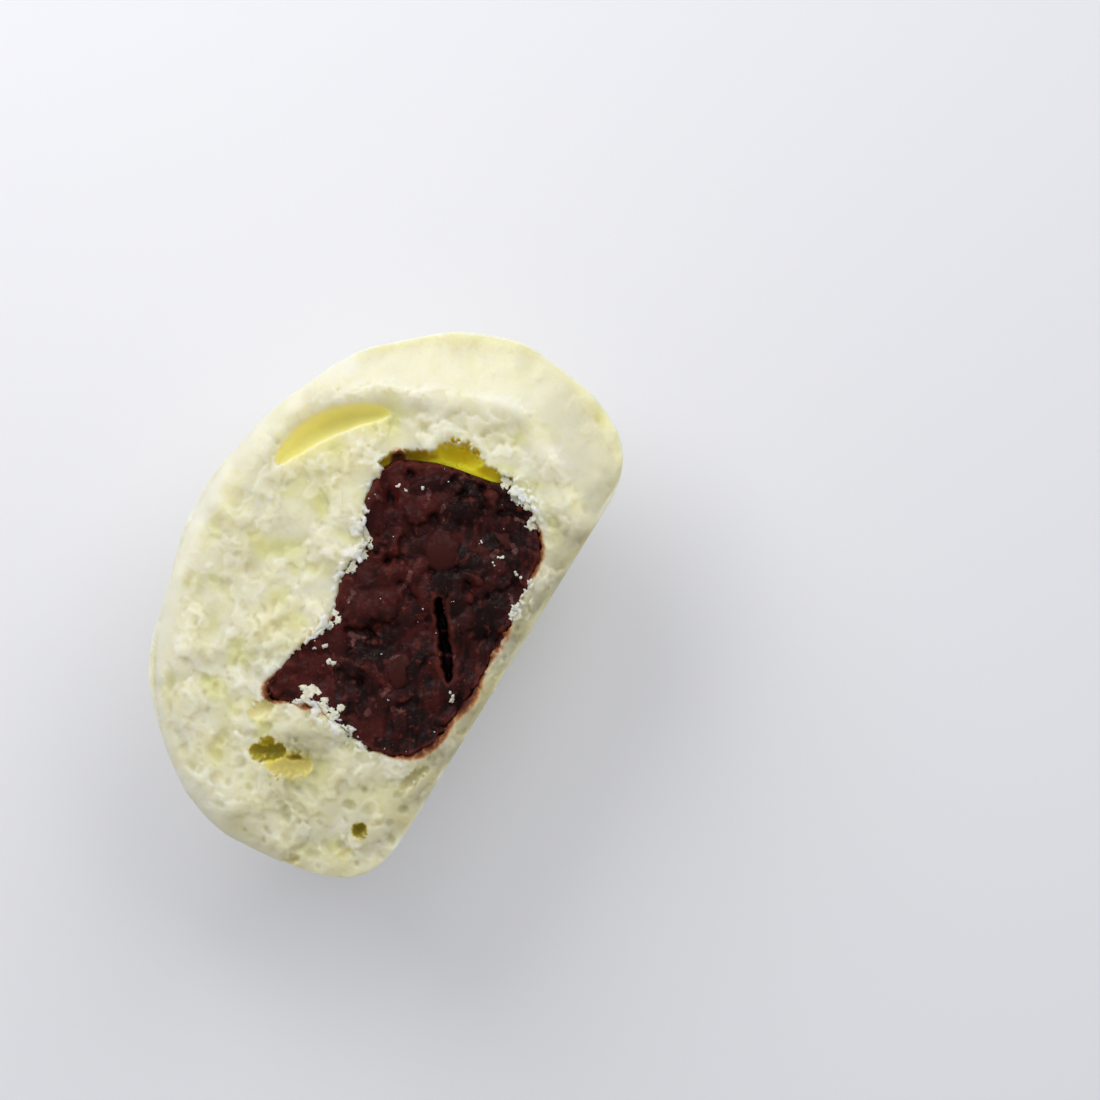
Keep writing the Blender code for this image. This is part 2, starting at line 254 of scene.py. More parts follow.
# The paste's finer relief.
PASTE_CELL = 0.10
PASTE_SPACING = 0.21
PASTE_LIFT = 0.3
PASTE_TURNS = (0.12, 0.25, 0.4, 0.55, 0.7, 0.85, 0.95)
CHUNK_COUNT = 1000
CHUNK_RADII = (0.35, 2.7)
CHUNK_SKEW = 2.4
CHUNK_TILT = 0.26
SCRAP_BENDS = (((1.2, 0.35, 60), (0.5, 0.14, 64)), ((1.2, 0.35, 65), (0.5, 0.14, 66)))
TOP_WAVES = ((1.6, 0.25, 51),)
TONE_WAVES = ((2.5, 0.25, 50),)
TONE_PATCHES = ((6.0, 0.3, 49),)
CRACK_BEND = ((3.0, 0.6, 55), (1.1, 0.4, 67))
PASTE_GRAIN = ((0.5, 0.06, 56), (0.26, 0.035, 57))
PASTE_RAGGED = ((1.6, 0.45, 58), (0.6, 0.2, 59))
BELOW_ALL = -9.0

# Loose bits on the paste: where the larger white crumbs lie, in the camera's picture, and size.
CRUMB_SPOTS = (
    (397, 486, 0.8), (405, 491, 0.5), (425, 488, 0.7), (480, 543, 0.5), (500, 556, 0.8), (493, 564, 0.5),
    (516, 573, 0.8), (393, 536, 0.4), (436, 633, 0.3), (423, 609, 0.3), (453, 602, 0.3), (326, 644, 0.9),
    (315, 648, 0.5), (331, 662, 0.9), (309, 688, 1.7), (315, 696, 1.5), (451, 694, 0.9), (441, 709, 0.3),
    (389, 700, 0.3), (381, 654, 0.3), (316, 631, 0.8), (304, 622, 0.7), (322, 716, 2.0), (331, 724, 1.6),
    (314, 706, 1.8), (307, 697, 1.6), (320, 708, 2.1), (327, 713, 1.9), (334, 716, 1.5), (338, 730, 1.4),
    (345, 738, 1.1), (356, 743, 0.9),
)
CLUMP_PARTS = 3
DUST_COUNT = 20
FRAY_COUNT = 7
HUSK_COUNT = 22
HUSK_THINNESS = 0.22

# The floor, in metres, and the light.
FLOOR_HALF = 1.5
WORLD_COLOUR = (0.97, 0.98, 1.0)
WORLD_STRENGTH = 0.46
LAMPS = (
    # name, metres ahead of the torn face as seen, beside it and above it, size, power
    ("key", 0.26, -0.20, 0.28, 0.30, 0.86),
    ("soft", 0.55, 0.40, 0.75, 0.70, 3.1),
)

# Camera: the photograph's framing, from the side that shows the torn face.
PHOTO_SIDE = 1100
MM_PER_PIXEL = 0.1624
VIEW_AZIMUTH = -58.4
VIEW_ELEVATION = 89.0
VIEW_TARGET = (20.3, 4.2, FACE_Z)
LENS = 100.0
SENSOR = 36.0
# The picture's turn against the bun's base, and the place of its upper left corner in its own pixels.
PICTURE_COS, PICTURE_SIN = 0.523, 0.852
PICTURE_CORNER = (306, 782)


def smooth_step(value):
    t = np.clip(value, 0.0, 1.0)
    return t * t * (3.0 - 2.0 * t)


def srgb(red, green, blue):
    """Linear colour of a screen colour given as 0 to 255."""
    return tuple(
        c / 12.92 if c <= 0.04045 else ((c + 0.055) / 1.055) ** 2.4
        for c in (red / 255, green / 255, blue / 255)
    )


def gradient_noise(x, y, seed):
    """Smooth random waves over arrays x and y, about -1 to 1, one wave per unit."""
    angles = np.random.default_rng(seed).uniform(0.0, math.tau, (256, 256))
    column, row = np.floor(x).astype(int), np.floor(y).astype(int)
    fx, fy = x - column, y - row
    u, v = (f * f * f * (f * (f * 6 - 15) + 10) for f in (fx, fy))

    def corner(i, j):
        angle = angles[(column + i) & 255, (row + j) & 255]
        return np.cos(angle) * (fx - i) + np.sin(angle) * (fy - j)

    low = corner(0, 0) * (1 - u) + corner(1, 0) * u
    high = corner(0, 1) * (1 - u) + corner(1, 1) * u
    return (low * (1 - v) + high * v) * 1.5


def waves(x, h, layers):
    """Random waves laid over each other, each given as size, height and seed."""
    return sum(height * gradient_noise(x / size, h / size, seed) for size, height, seed in layers)


def soft_spot(x, h, at_x, at_h, reach):
    """A round spot: 1 in its middle, fading out over its reach."""
    return np.exp(-((x - at_x) ** 2 + (h - at_h) ** 2) / reach**2)


def foam(x, y, seed):
    """Round cells packed together, one a unit: 0 on the walls, up to about 1 in their middles."""
    rng = np.random.default_rng(seed)
    at_x, at_y, deep = rng.uniform(0.1, 0.9, (3, 128, 128))
    column, row = np.floor(x).astype(int), np.floor(y).astype(int)
    first = np.full(x.shape, 9.0)
    second = np.full(x.shape, 9.0)
    depth = np.zeros(x.shape)
    for i in (-1, 0, 1):
        for j in (-1, 0, 1):
            c, r = (column + i) & 127, (row + j) & 127
            gap = np.hypot(column + i + at_x[c, r] - x, row + j + at_y[c, r] - y)
            nearer = gap < first
            second = np.where(nearer, first, np.minimum(second, gap))
            depth = np.where(nearer, deep[c, r], depth)
            first = np.where(nearer, gap, first)
    return smooth_step((second - first) * 1.7) * depth * depth


class Field:
    """A square grid over part of the torn face, in millimetres, for working out heights."""

    def __init__(self, low, high, cell):
        self.low = low
        self.cell = cell
        columns = int(math.ceil((high[0] - low[0]) / cell)) + 1
        rows = int(math.ceil((high[1] - low[1]) / cell)) + 1
        self.x, self.h = np.meshgrid(low[0] + cell * np.arange(columns), low[1] + cell * np.arange(rows))

    def window(self, x, h, reach):
        """The cells within reach of a point, as a slice of the grid."""
        column = (x - self.low[0]) / self.cell
        row = (h - self.low[1]) / self.cell
        cells = reach / self.cell
        rows, columns = self.x.shape
        return (
            slice(max(int(row - cells), 0), min(int(row + cells) + 2, rows)),
            slice(max(int(column - cells), 0), min(int(column + cells) + 2, columns)),
        )

    def sample(self, values, x, h):
        """Values between the grid's points."""
        rows, columns = self.x.shape
        column = np.clip((x - self.low[0]) / self.cell, 0, columns - 1.001)
        row = np.clip((h - self.low[1]) / self.cell, 0, rows - 1.001)
        i, j = row.astype(int), column.astype(int)
        u, v = row - i, column - j
        low = values[i, j] * (1 - v) + values[i, j + 1] * v
        high = values[i + 1, j] * (1 - v) + values[i + 1, j + 1] * v
        return low * (1 - u) + high * u

    def at(self, values, x, h):
        """The value at one point."""
        return float(self.sample(values, np.array([x]), np.array([h]))[0])

    def blurred(self, values, reach):
        """Values averaged over a square of this reach, three times over."""
        cells = max(int(reach / self.cell), 1)
        for _ in range(3):
            for axis in (0, 1):
                pad = [(cells + 1, cells) if a == axis else (0, 0) for a in (0, 1)]
                total = np.cumsum(np.pad(values, pad, mode="edge"), axis=axis)
                ahead = np.take(total, range(2 * cells + 1, total.shape[axis]), axis=axis)
                behind = np.take(total, range(total.shape[axis] - 2 * cells - 1), axis=axis)
                values = (ahead - behind) / (2 * cells + 1)
        return values

    def crags(self, layers, step=6):
        """The CAD source's noise, worked out on a coarser grid and filled in."""
        coarse = Field(self.low, (self.x[0, -1] + self.cell, self.h[-1, 0] + self.cell), self.cell * step)
        heights = np.zeros(coarse.x.shape)
        for index, x in np.ndenumerate(coarse.x):
            h = coarse.h[index]
            heights[index] = sum(
                height * noise.noise(Vector((x / size + place, h / size - place, 0.0)))
                for size, height, place in layers
            )
        return coarse.sample(heights, self.x, self.h)


def bezier(start, first, second, end, t):
    """Points at t on a cubic Bezier curve."""
    s = 1.0 - t
    return [
        s**3 * a + 3 * s * s * t * b + 3 * s * t * t * c + t**3 * d
        for a, b, c, d in zip(start, first, second, end)
    ]


CORNER_R, CORNER_H = bezier(
    (BASE_FLAT_RADIUS, 0.0), *CORNER_HANDLES, (BUN_RADIUS, WIDEST_HEIGHT), np.linspace(0, 1, 80)
)


def profile_radius(h):
    """Radius of the bun at height h above its base."""
    rise = np.clip((h - WIDEST_HEIGHT) / (BUN_HEIGHT - WIDEST_HEIGHT), 0.0, 1.0)
    dome = BUN_RADIUS * np.sqrt(1.0 - rise * rise)
    return np.where(h > WIDEST_HEIGHT, dome, np.interp(h, CORNER_H, CORNER_R))


def rim_nearness(x, h):
    """0 in the middle of the bun and 1 at its skin."""
    across = (x - BUN_CENTRE_X) / BUN_RADIUS
    up = np.maximum(h - WIDEST_HEIGHT, 0.0) / (BUN_HEIGHT - WIDEST_HEIGHT)
    return np.hypot(across, up)


def fallen_share(x, h):
    """How far the crumb has fallen away beyond the ridge, from 0 to 1, and the way beyond it."""
    ridge = sum(np.interp(h + step, RIDGE_H, RIDGE_X) for step in RIDGE_SMOOTHING) / len(RIDGE_SMOOTHING)
    beyond = x - ridge
    fade = smooth_step((RECESS_FADE_H - h) / RECESS_FADE_RUN)
    return smooth_step(beyond / RECESS_RUN) * fade, beyond, fade


def tear_height(x, h):
    """Height of the torn crumb above the level of the tear, before its crags."""
    fallen, beyond, fade = fallen_share(x, h)
    lip = RIDGE_LIP * np.exp(-((beyond / RIDGE_HALF_WIDTH) ** 2)) * fade
    over = np.clip((rim_nearness(x, h) - SHOULDER_START) / (1.0 - SHOULDER_START), 0.0, 1.0)
    shoulder = SHOULDER_DROP * (1.0 - np.sqrt(1.0 - over * over)) * (1.0 - fallen)
    return lip - RECESS_DEPTH * fallen - shoulder


def smooth_outline(points, steps):
    """A closed Catmull-Rom curve through the points."""
    points = np.array(points, float)
    t = (np.arange(steps) / steps)[:, None]
    curve = []
    for i in range(len(points)):
        before, start, end, after = (points[(i + k) % len(points)] for k in (-1, 0, 1, 2))
        curve.append(
            0.5
            * (
                2.0 * start
                + (end - before) * t
                + (2.0 * before - 5.0 * start + 4.0 * end - after) * t**2
                + (3.0 * start - before - 3.0 * end + after) * t**3
            )
        )
    return np.concatenate(curve)


OUTLINE = smooth_outline(PASTE_OUTLINE, PASTE_STEPS)


def outline_distance(x, h):
    """Distance outside the paste's outline, negative inside it."""
    shape = x.shape
    x, h = x.ravel(), h.ravel()
    nearest = np.full(x.shape, 1e9)
    inside = np.zeros(x.shape, bool)
    for (ax, ah), (bx, bh) in zip(OUTLINE, np.roll(OUTLINE, -1, axis=0)):
        dx, dh = bx - ax, bh - ah
        t = np.clip(((x - ax) * dx + (h - ah) * dh) / (dx * dx + dh * dh), 0.0, 1.0)
        nearest = np.minimum(nearest, (x - ax - t * dx) ** 2 + (h - ah - t * dh) ** 2)
        crosses = ((ah > h) != (bh > h)) & (x < (bx - ax) * (h - ah) / (bh - ah + 1e-12) + ax)
        inside ^= crosses
    return (np.sqrt(nearest) * np.where(inside, -1.0, 1.0)).reshape(shape)


def outline_share(x, h):
    """0 at the paste's middle and 1 on its outline, along the ray through the point."""
    angle = np.arctan2(OUTLINE[:, 1] - PASTE_CENTRE[1], OUTLINE[:, 0] - PASTE_CENTRE[0])
    reach = np.hypot(OUTLINE[:, 0] - PASTE_CENTRE[0], OUTLINE[:, 1] - PASTE_CENTRE[1])
    order = np.argsort(angle)
    here = np.arctan2(h - PASTE_CENTRE[1], x - PASTE_CENTRE[0])
    edge = np.interp(here, angle[order], reach[order], period=math.tau)
    return np.hypot(x - PASTE_CENTRE[0], h - PASTE_CENTRE[1]) / edge


def turned(dx, dh, angle, long_half, short_half):
    """Ways along and across an ellipse at an angle, as shares of its half widths."""
    along = (dx * math.cos(angle) + dh * math.sin(angle)) / long_half
    across = (dh * math.cos(angle) - dx * math.sin(angle)) / short_half
    return along, across


def ellipse_reach(field, where, x, h, long_half, short_half, angle):
    """0 at an ellipse's middle and 1 on its edge, over a window of the field."""
    return np.hypot(*turned(field.x[where] - x, field.h[where] - h, angle, long_half, short_half))


def dome(q, power):
    """A rounded rise over an ellipse: 1 in its middle and 0 from its edge on, steeper at a low power."""
    return np.clip(1.0 - q * q, 0.0, 1.0) ** power


def pockets(field):
    """Depth of the open air pockets, how yellow each is painted as glow of light through the dough, and how
    far each place lies inside.
    """
    x, h = field.x, field.h
    depth_here = np.zeros(x.shape)
    yellow = np.zeros(x.shape)
    opened = np.zeros(x.shape)
    torn_edge = 1.0 + waves(x, h, POCKET_TORN)
    smooth_edge = 1.0 + waves(x, h, POCKET_SMOOTH)
    for index, (start, middle, end, half_width, depth, tint) in enumerate(POCKETS):
        start, middle, end = (np.array(p) for p in (start, middle, end))
        handle = 2.0 * middle - (start + end) / 2.0
        nearest = np.full(x.shape, 1e9)
        along = np.zeros(x.shape)
        for t in np.linspace(0.0, 1.0, POCKET_STEPS):
            px, ph = start * (1 - t) ** 2 + handle * 2 * t * (1 - t) + end * t * t
            gap = np.hypot(x - px, h - ph)
            closer = gap < nearest
            nearest = np.where(closer, gap, nearest)
            along = np.where(closer, t, along)
        swell = np.maximum(2.0 * np.sqrt(along * (1.0 - along)), 0.05)
        edge = smooth_edge if index == 0 else torn_edge
        q = nearest / (half_width * swell * edge)
        steepness = SMOOTH_STEEPNESS if index == 0 else TORN_STEEPNESS
        drop = depth * swell * dome(q, steepness)
        yellow = np.where((drop > depth_here) | ((yellow == 0.0) & (q < POCKET_HALO)), tint, yellow)
        opened = np.maximum(opened, smooth_step((POCKET_HALO - q) / (POCKET_HALO - POCKET_CORE)))
        depth_here = np.maximum(depth_here, drop)
    return depth_here, yellow, opened


def skin_share(x, h, wander, close, fallen):
    """1 where smooth skin shows beside the tear, along the rim and the base, and 0 on crumb."""
    near = rim_nearness(x, h)
    skin = smooth_step((near + 0.03 * wander - SKIN_START - CLOSE_SKIN_SHIFT * close) / SKIN_RUN)
    skin *= 1.0 - smooth_step(fallen * 2.0 - 0.3)
    return np.maximum(skin, smooth_step((BASE_SKIN_HEIGHT + 0.4 * wander - h) / 0.8))


def pores(field, draw):
    """Round and stretched pores in the crumb, as heights below 0."""
    pits = np.zeros(field.x.shape)
    for _ in range(PORE_COUNT):
        px = draw.uniform(-BUN_RADIUS, BUN_RADIUS + 1)
        ph = draw.uniform(0.3, BUN_HEIGHT)
        shrink = 1.0 if px < SMALL_PORES_FROM[0] or ph < SMALL_PORES_FROM[1] else SMALL_PORES
        radius = PORE_RADII[0] + (PORE_RADII[1] - PORE_RADII[0]) * draw.random() ** PORE_SKEW
        radius *= shrink
        stretch = draw.uniform(*PORE_STRETCH)
        angle = math.atan2(ph - PASTE_CENTRE[1], px) + math.pi / 2 + draw.normal(0.0, PORE_TURN)
        deepen = CLOSE_PORE_DEPTH if px < CLOSE_FROM_X else 1.0
        depth = radius * draw.uniform(*PORE_DEPTHS) * shrink * deepen
        where = field.window(px, ph, radius * stretch * 1.2)
        q = ellipse_reach(field, where, px, ph, radius * stretch, radius, angle)
        pits[where] = np.minimum(pits[where], -depth * dome(q, PORE_STEEPNESS))
    return pits


def crumb_texture(field, close, fleck, draw):
    """The crumb's puffs, ledges, cells, pores and grain, as heights."""
    x, h = field.x, field.h
    puffs = waves(x, h, PUFFS) * (1.0 - CLOSE_FLATNESS * close)
    warp_x, warp_h = x + waves(x, h, CELL_WARP_X), h + waves(x, h, CELL_WARP_H)
    cells = sum(
        height * foam(warp_x / size, warp_h / size * CELL_SQUASH, seed) for size, height, seed in CELLS
    )
    ledges = np.zeros(x.shape)
    for size, start, height, seed in LEDGES:
        torn = waves(x, h, ((size, 1.0, seed), (2.2, 0.35, seed + 5)))
        ledges += height * smooth_step((torn + 0.08 * fleck - start) / 0.24)
    return puffs + ledges - cells + pores(field, draw) + waves(x, h, GRAIN)


def fray_share(x, h):
    """1 at the places where the crumb's border is most frayed, fading out round them."""
    fray = np.zeros(x.shape)
    for fx, fh in FRAY_SPOTS:
        fray = np.maximum(fray, soft_spot(x, h, fx, fh, FRAY_REACH))
    return fray


def tuft_share(x, h, away, fray, fleck, skin):
    """How tufted the crumb's border with the paste is, from 0 to 1."""
    snow = waves(x, h, SNOW) + 0.35 * fleck
    tufts = smooth_step((snow - 0.55 + 0.9 * fray) / 0.5) * smooth_step(1.0 - (away - 0.6) / 2.4)
    return tufts * (1.0 - 0.8 * skin)


def cut_hollow(x, h, heights, level, away, tufts):
    """The heights with the paste's hollow cut in, its edge ragged and rounded."""
    share = outline_share(x, h) - waves(x, h, HOLLOW_RAGGED) + 0.055 * tufts
    bowl = (PASTE_DEPTH + PASTE_GAP) * np.sqrt(np.clip(1.0 - share * share, 0.0, 1.0))
    well_inside = away < -EDGE_RAGGED
    bowl = np.where(well_inside, np.maximum(bowl, HOLLOW_DROP), bowl)
    heights = heights - EDGE_ROUNDING * np.clip(1.0 - np.abs(away) / EDGE_RUN, 0.0, 1.0) ** 2
    return np.where((share < 1.0) | well_inside, np.minimum(heights, level - bowl), heights)


def stain_share(x, h, away, wander, fleck, fluff):
    """How far the paste has soaked into the crumb beside it. White fluff stays clean."""
    stain = np.zeros(x.shape)
    for sx, sh, reach, strength in STAINS:
        stain = np.maximum(stain, strength * soft_spot(x, h, sx, sh, reach))
    spread = STAIN_REACHES[0] + STAIN_REACHES[1] * stain + 0.5 * wander + 0.3 * fleck
    stain = (STAIN_BASE + (1.0 - STAIN_BASE) * stain) * smooth_step(1.0 - away / np.maximum(spread, 0.15))
    return stain * (1.0 - 0.85 * fluff)


def painted_shade_share(x, h, wander):
    """How much shade is painted on the crumb: most by the base and towards the low end, and in the shady
    spots.
    """
    painted_shade = 0.38 * smooth_step((22.0 - h - 0.35 * x + 2.0 * wander) / 24.0)
    painted_shade += 0.6 * smooth_step((7.0 - h + 1.5 * wander) / 6.0) * smooth_step((x + 36.0) / 14.0)
    for sx, sh, reach, strength in SHADY_SPOTS:
        painted_shade += strength * soft_spot(x, h, sx, sh, reach)
    return np.clip(painted_shade, 0.0, 1.0)


def crumb_relief(field, draw):
    """Everything about the torn crumb over the field: heights, and what its colour follows."""
    x, h = field.x, field.h
    level = tear_height(x, h) + field.crags(CRAG_NOISE)
    fallen, beyond, fade = fallen_share(x, h)
    away = outline_distance(x, h)
    wander, fleck = waves(x, h, WANDER), waves(x, h, FLECK)
    close = smooth_step((CLOSE_FROM_X - x + 1.5 * wander) / CLOSE_RUN)
    skin = skin_share(x, h, wander, close, fallen)
    past_ridge = smooth_step((beyond - 0.8 - 0.9 * wander - 0.3 * fleck) / 2.0) * fade
    calm = (1.0 - 0.95 * skin) * (1.0 - 0.5 * past_ridge)
    level -= 0.8 * past_ridge * (1.0 - skin)

    fine = calm * crumb_texture(field, close, fleck, draw)
    fray = fray_share(x, h)
    tufts = tuft_share(x, h, away, fray, fleck, skin)
    shelf = smooth_step((7.5 + 2.5 * wander + 0.4 * fleck - away) / 2.4)
    shelf *= smooth_step((h - 13.0 - 2.0 * wander) / 5.0) * (1.0 - past_ridge)
    beside = smooth_step(1.0 - np.abs(away - 0.5) / 2.6)
    clots = waves(x, h, CLOTS) + 0.16 * np.abs(gradient_noise(x / CLOT_SIZE, h / CLOT_SIZE, 84))
    fine += SHELF_RISE * shelf * calm + tufts * (0.35 + 0.5 * fray + clots) + 0.25 * beside * calm

    heights = level + fine
    pocket_depth, yellow, opened = pockets(field)
    open_here = pocket_depth > 0.0
    heights = np.where(open_here, np.minimum(heights, level + 0.15 * fine - pocket_depth), heights)
    beside_pocket = field.blurred(np.where(open_here, 1.0, 0.0), WEB_REACH) > 0.08
    web = beside_pocket & (np.abs(away) < WEB_WIDTH) & (x > WEB_FROM_X)
    heights = np.where(web, np.minimum(heights, level - WEB_DROP), heights)
    yellow = np.where(web & ~open_here, WEB_GLOW, yellow)
    opened = np.where(web, 1.0, opened)
    heights = cut_hollow(x, h, heights, level, away, tufts)

    fluff = np.clip(tufts * (0.3 + 1.2 * fray), 0.0, 1.0)
    # Painted shade over the crumb, darker towards the base and the low end.
    painted_shade = painted_shade_share(x, h, wander)
    low_here = field.blurred(fine, 2.6) - fine
    soft_low = field.blurred(fine, 3.0) - field.blurred(fine, 0.7)
    # Painted highlight: the ridge's crest and the crumb's raised puffs are painted whiter.
    crest_highlight = np.exp(-((beyond / RIDGE_HALF_WIDTH) ** 2)) * fade
    return {
        "height": heights,
        "away": away,
        "skin": skin,
        # Painted glow and shade: crumb lying low is painted yellower and a little darker, less so where
        # shade is painted.
        "hollow": np.clip(soft_low / 0.5, 0.0, 1.0) * (1.0 - skin) * (1.0 - 0.7 * painted_shade),
        # Painted shade in the crumb's pits.
        "pit_shade": np.clip((field.blurred(fine, 0.6) - fine) / 0.28, 0.0, 1.0) * (1.0 - skin),
        "puff_highlight": np.clip(np.maximum(-low_here / 0.8, 0.8 * crest_highlight), 0.0, 1.0),
        "pocket_glow": yellow,
        "opened": opened,
        "fallen": past_ridge,
        "tuft": tufts,
        "stain": stain_share(x, h, away, wander, fleck, fluff),
        "painted_shade": painted_shade,
    }


def skin_points(angle, dip):
    """Points of the bun's outer surface, along rays from the torn face's middle."""
    ray = np.stack([np.cos(dip) * np.cos(angle), np.cos(dip) * np.sin(angle), -np.sin(dip)], -1)
    middle = np.array([*FACE_MIDDLE, FACE_Z])
    low, high = np.zeros(angle.shape), np.full(angle.shape, FARTHEST)
    for _ in range(HALVINGS):
        reach = (low + high) / 2.0
        point = middle + ray * reach[..., None]
        round_reach = np.hypot(point[..., 0] - BUN_CENTRE_X, point[..., 2] - AXIS_Z)
        inside = (point[..., 1] > 0.0) & (round_reach < profile_radius(point[..., 1]))
        inside &= point[..., 1] < BUN_HEIGHT
        low, high = np.where(inside, reach, low), np.where(inside, high, reach)
    point = middle + ray * low[..., None]
    x, h = point[..., 0], point[..., 1]
    flat = point.reshape(-1, 3)
    lump = np.array([
        noise.noise(Vector((a / LUMP_SIZE + LUMP_PLACE, b / LUMP_SIZE - LUMP_PLACE, c / LUMP_SIZE)))
        for a, b, c in flat
    ]).reshape(x.shape)
    lump = LUMP_HEIGHT * lump * smooth_step(h / WIDEST_HEIGHT)
    for at_x, at_h, reach, height in SWELLINGS:
        gap = (x - at_x) ** 2 + (h - at_h) ** 2 + ((point[..., 2] - FACE_Z) / 2.0) ** 2
        lump = lump + height * np.exp(-gap / reach**2)
    point = point + ray * lump[..., None]
    point[..., 2] = np.maximum(point[..., 2], 0.0)
    return point


def rim_angles():
    """Angles round the torn face that part its rim into equal lengths."""
    angle = np.linspace(0.0, math.tau, RIM_STEPS + 1)
    point = skin_points(angle, np.zeros(angle.shape))
    length = np.hypot(np.diff(point[:, 0]), np.diff(point[:, 1]))
    total = np.concatenate([[0.0], np.cumsum(length)])
    return np.interp(np.arange(RIM_POINTS) / RIM_POINTS * total[-1], total, angle)


def rim_dips(angle, field, heights):
    """How far below level each ray meets both the skin and the torn crumb."""
    low, high = np.full(angle.shape, RIM_DIPS[0]), np.full(angle.shape, RIM_DIPS[1])
    for _ in range(RIM_HALVINGS):
        dip = (low + high) / 2.0
        point = skin_points(angle, dip)
        above = point[:, 2] > FACE_Z + field.sample(heights, point[:, 0], point[:, 1])
        low, high = np.where(above, dip, low), np.where(above, high, dip)
    return (low + high) / 2.0


def inside_loop(loop, x, h):
    """Which points lie inside a closed loop."""
    inside = np.zeros(x.shape, bool)
    for (ax, ah), (bx, bh) in zip(loop, np.roll(loop, -1, axis=0)):
        inside ^= ((ah > h) != (bh > h)) & (x < (bx - ax) * (h - ah) / (bh - ah + 1e-12) + ax)
    return inside


def scattered_rows(low, high, spacing, draw):
    """A grid of staggered rows of points, each moved a little."""
    columns = np.arange(low[0], high[0], spacing)
    rows = np.arange(low[1], high[1], spacing * math.sqrt(3) / 2)
    x, h = np.meshgrid(columns, rows)
    x = x + (np.arange(len(rows)) % 2)[:, None] * spacing / 2
    shake = draw.uniform(-0.16, 0.16, (2, *x.shape)) * spacing
    return (x + shake[0]).ravel(), (h + shake[1]).ravel()


def fill_loop(loop, x, h):
    """Triangles inside a loop, through the given points. The loop's own points come first."""
    coords = [Vector(p) for p in loop] + [Vector(p) for p in zip(x, h)]
    result = delaunay_2d_cdt(coords, [], [list(range(len(loop)))], 1, 1e-6)
    points, triangles, origins = np.array([p[:] for p in result[0]]), result[2], result[3]
    place = {first: new for new, olds in enumerate(origins) for first in olds}
    return points, [tuple(t) for t in triangles], [place[i] for i in range(len(loop))]


def make_mesh(name, points, faces, material, attributes=None, layout=None):
    """A smooth mesh piece in the frame, from millimetres, with its point attributes and layout."""
    mesh = bpy.data.meshes.new(name)
    mesh.from_pydata(to_frame(points), [], [tuple(int(i) for i in face) for face in faces])
    bm = bmesh.new()
    bm.from_mesh(mesh)
    bmesh.ops.recalc_face_normals(bm, faces=bm.faces)
    bm.to_mesh(mesh)
    bm.free()
    for key, values in (attributes or {}).items():
        layer = mesh.attributes.new(key, "FLOAT", "POINT")
        layer.data.foreach_set("value", np.asarray(values, np.float32))
    if layout is not None:
        upper_faces, above, below = layout
        corner = np.zeros(len(mesh.loops), np.int32)
        mesh.loops.foreach_get("vertex_index", corner)
        sides = np.zeros(len(mesh.polygons), np.int32)
        mesh.polygons.foreach_get("loop_total", sides)
        upper = np.repeat(np.arange(len(sides)) < upper_faces, sides)
        flat = np.where(upper[:, None], above[corner], below[corner])
        mesh.uv_layers.new(name="OFBake").data.foreach_set("uv", flat.astype(np.float32).ravel())
    mesh.shade_smooth()
    mesh.materials.append(material)
    obj = bpy.data.objects.new(name, mesh)
    bpy.context.scene.collection.objects.link(obj)
    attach(obj, "root")
    return obj


def half_layouts(points):
    """Places for baking: seen from above in the left half, and opened out from below in the right."""
    low, high = points[:, :2].min(axis=0), points[:, :2].max(axis=0)
    above = 0.01 + (points[:, :2] - low) / (high - low) * (0.48, 0.98)
    out = points - np.array([*((low + high) / 2.0), FACE_Z])
    turn = np.arctan2(out[:, 1], out[:, 0])
    dip = np.arctan2(-out[:, 2], np.hypot(out[:, 0], out[:, 1]))
    ring = np.clip((math.pi / 2 - dip) / (math.pi * 0.6), 0.0, 1.0)
    below = np.stack([0.75 + 0.24 * ring * np.cos(turn), 0.5 + 0.48 * ring * np.sin(turn)], -1)
    return above, below


def to_frame(points):
    """Points in the frame, in metres, from the CAD source's millimetres."""
    shift = np.array([PASTE_LOW.x - OUTLINE[:, 0].min() * MM, CAD_LOW.y, 0.0])
    return np.asarray(points) * MM + shift


def skin_below(angle, dip, rim, count, faces):
    """Rows of points from the rim to the bottom, numbered from count on, with their faces added."""
    points = []
    rows = [(rim, RIM_POINTS)]
    for share, around in SKIN_ROWS:
        step = RIM_POINTS // around
        row_dip = dip[::step] + (math.pi / 2 - dip[::step]) * share
        points.append(skin_points(angle[::step], row_dip))
        rows.append((np.arange(count, count + around), around))
        count += around
    for (upper, many), (lower, few) in zip(rows, rows[1:]):
        for i in range(few):
            j = (i + 1) % few
            if many == few:
                faces.append((upper[i], upper[j], lower[j], lower[i]))
            else:
                a, b, c = upper[2 * i], upper[2 * i + 1], upper[(2 * i + 2) % many]
                faces.extend([(a, b, lower[i]), (b, lower[j], lower[i]), (b, c, lower[j])])
    points.append(skin_points(np.zeros(1), np.full(1, math.pi / 2)))
    last = rows[-1][0]
    faces.extend((last[i], last[(i + 1) % len(last)], count) for i in range(len(last)))
    return points


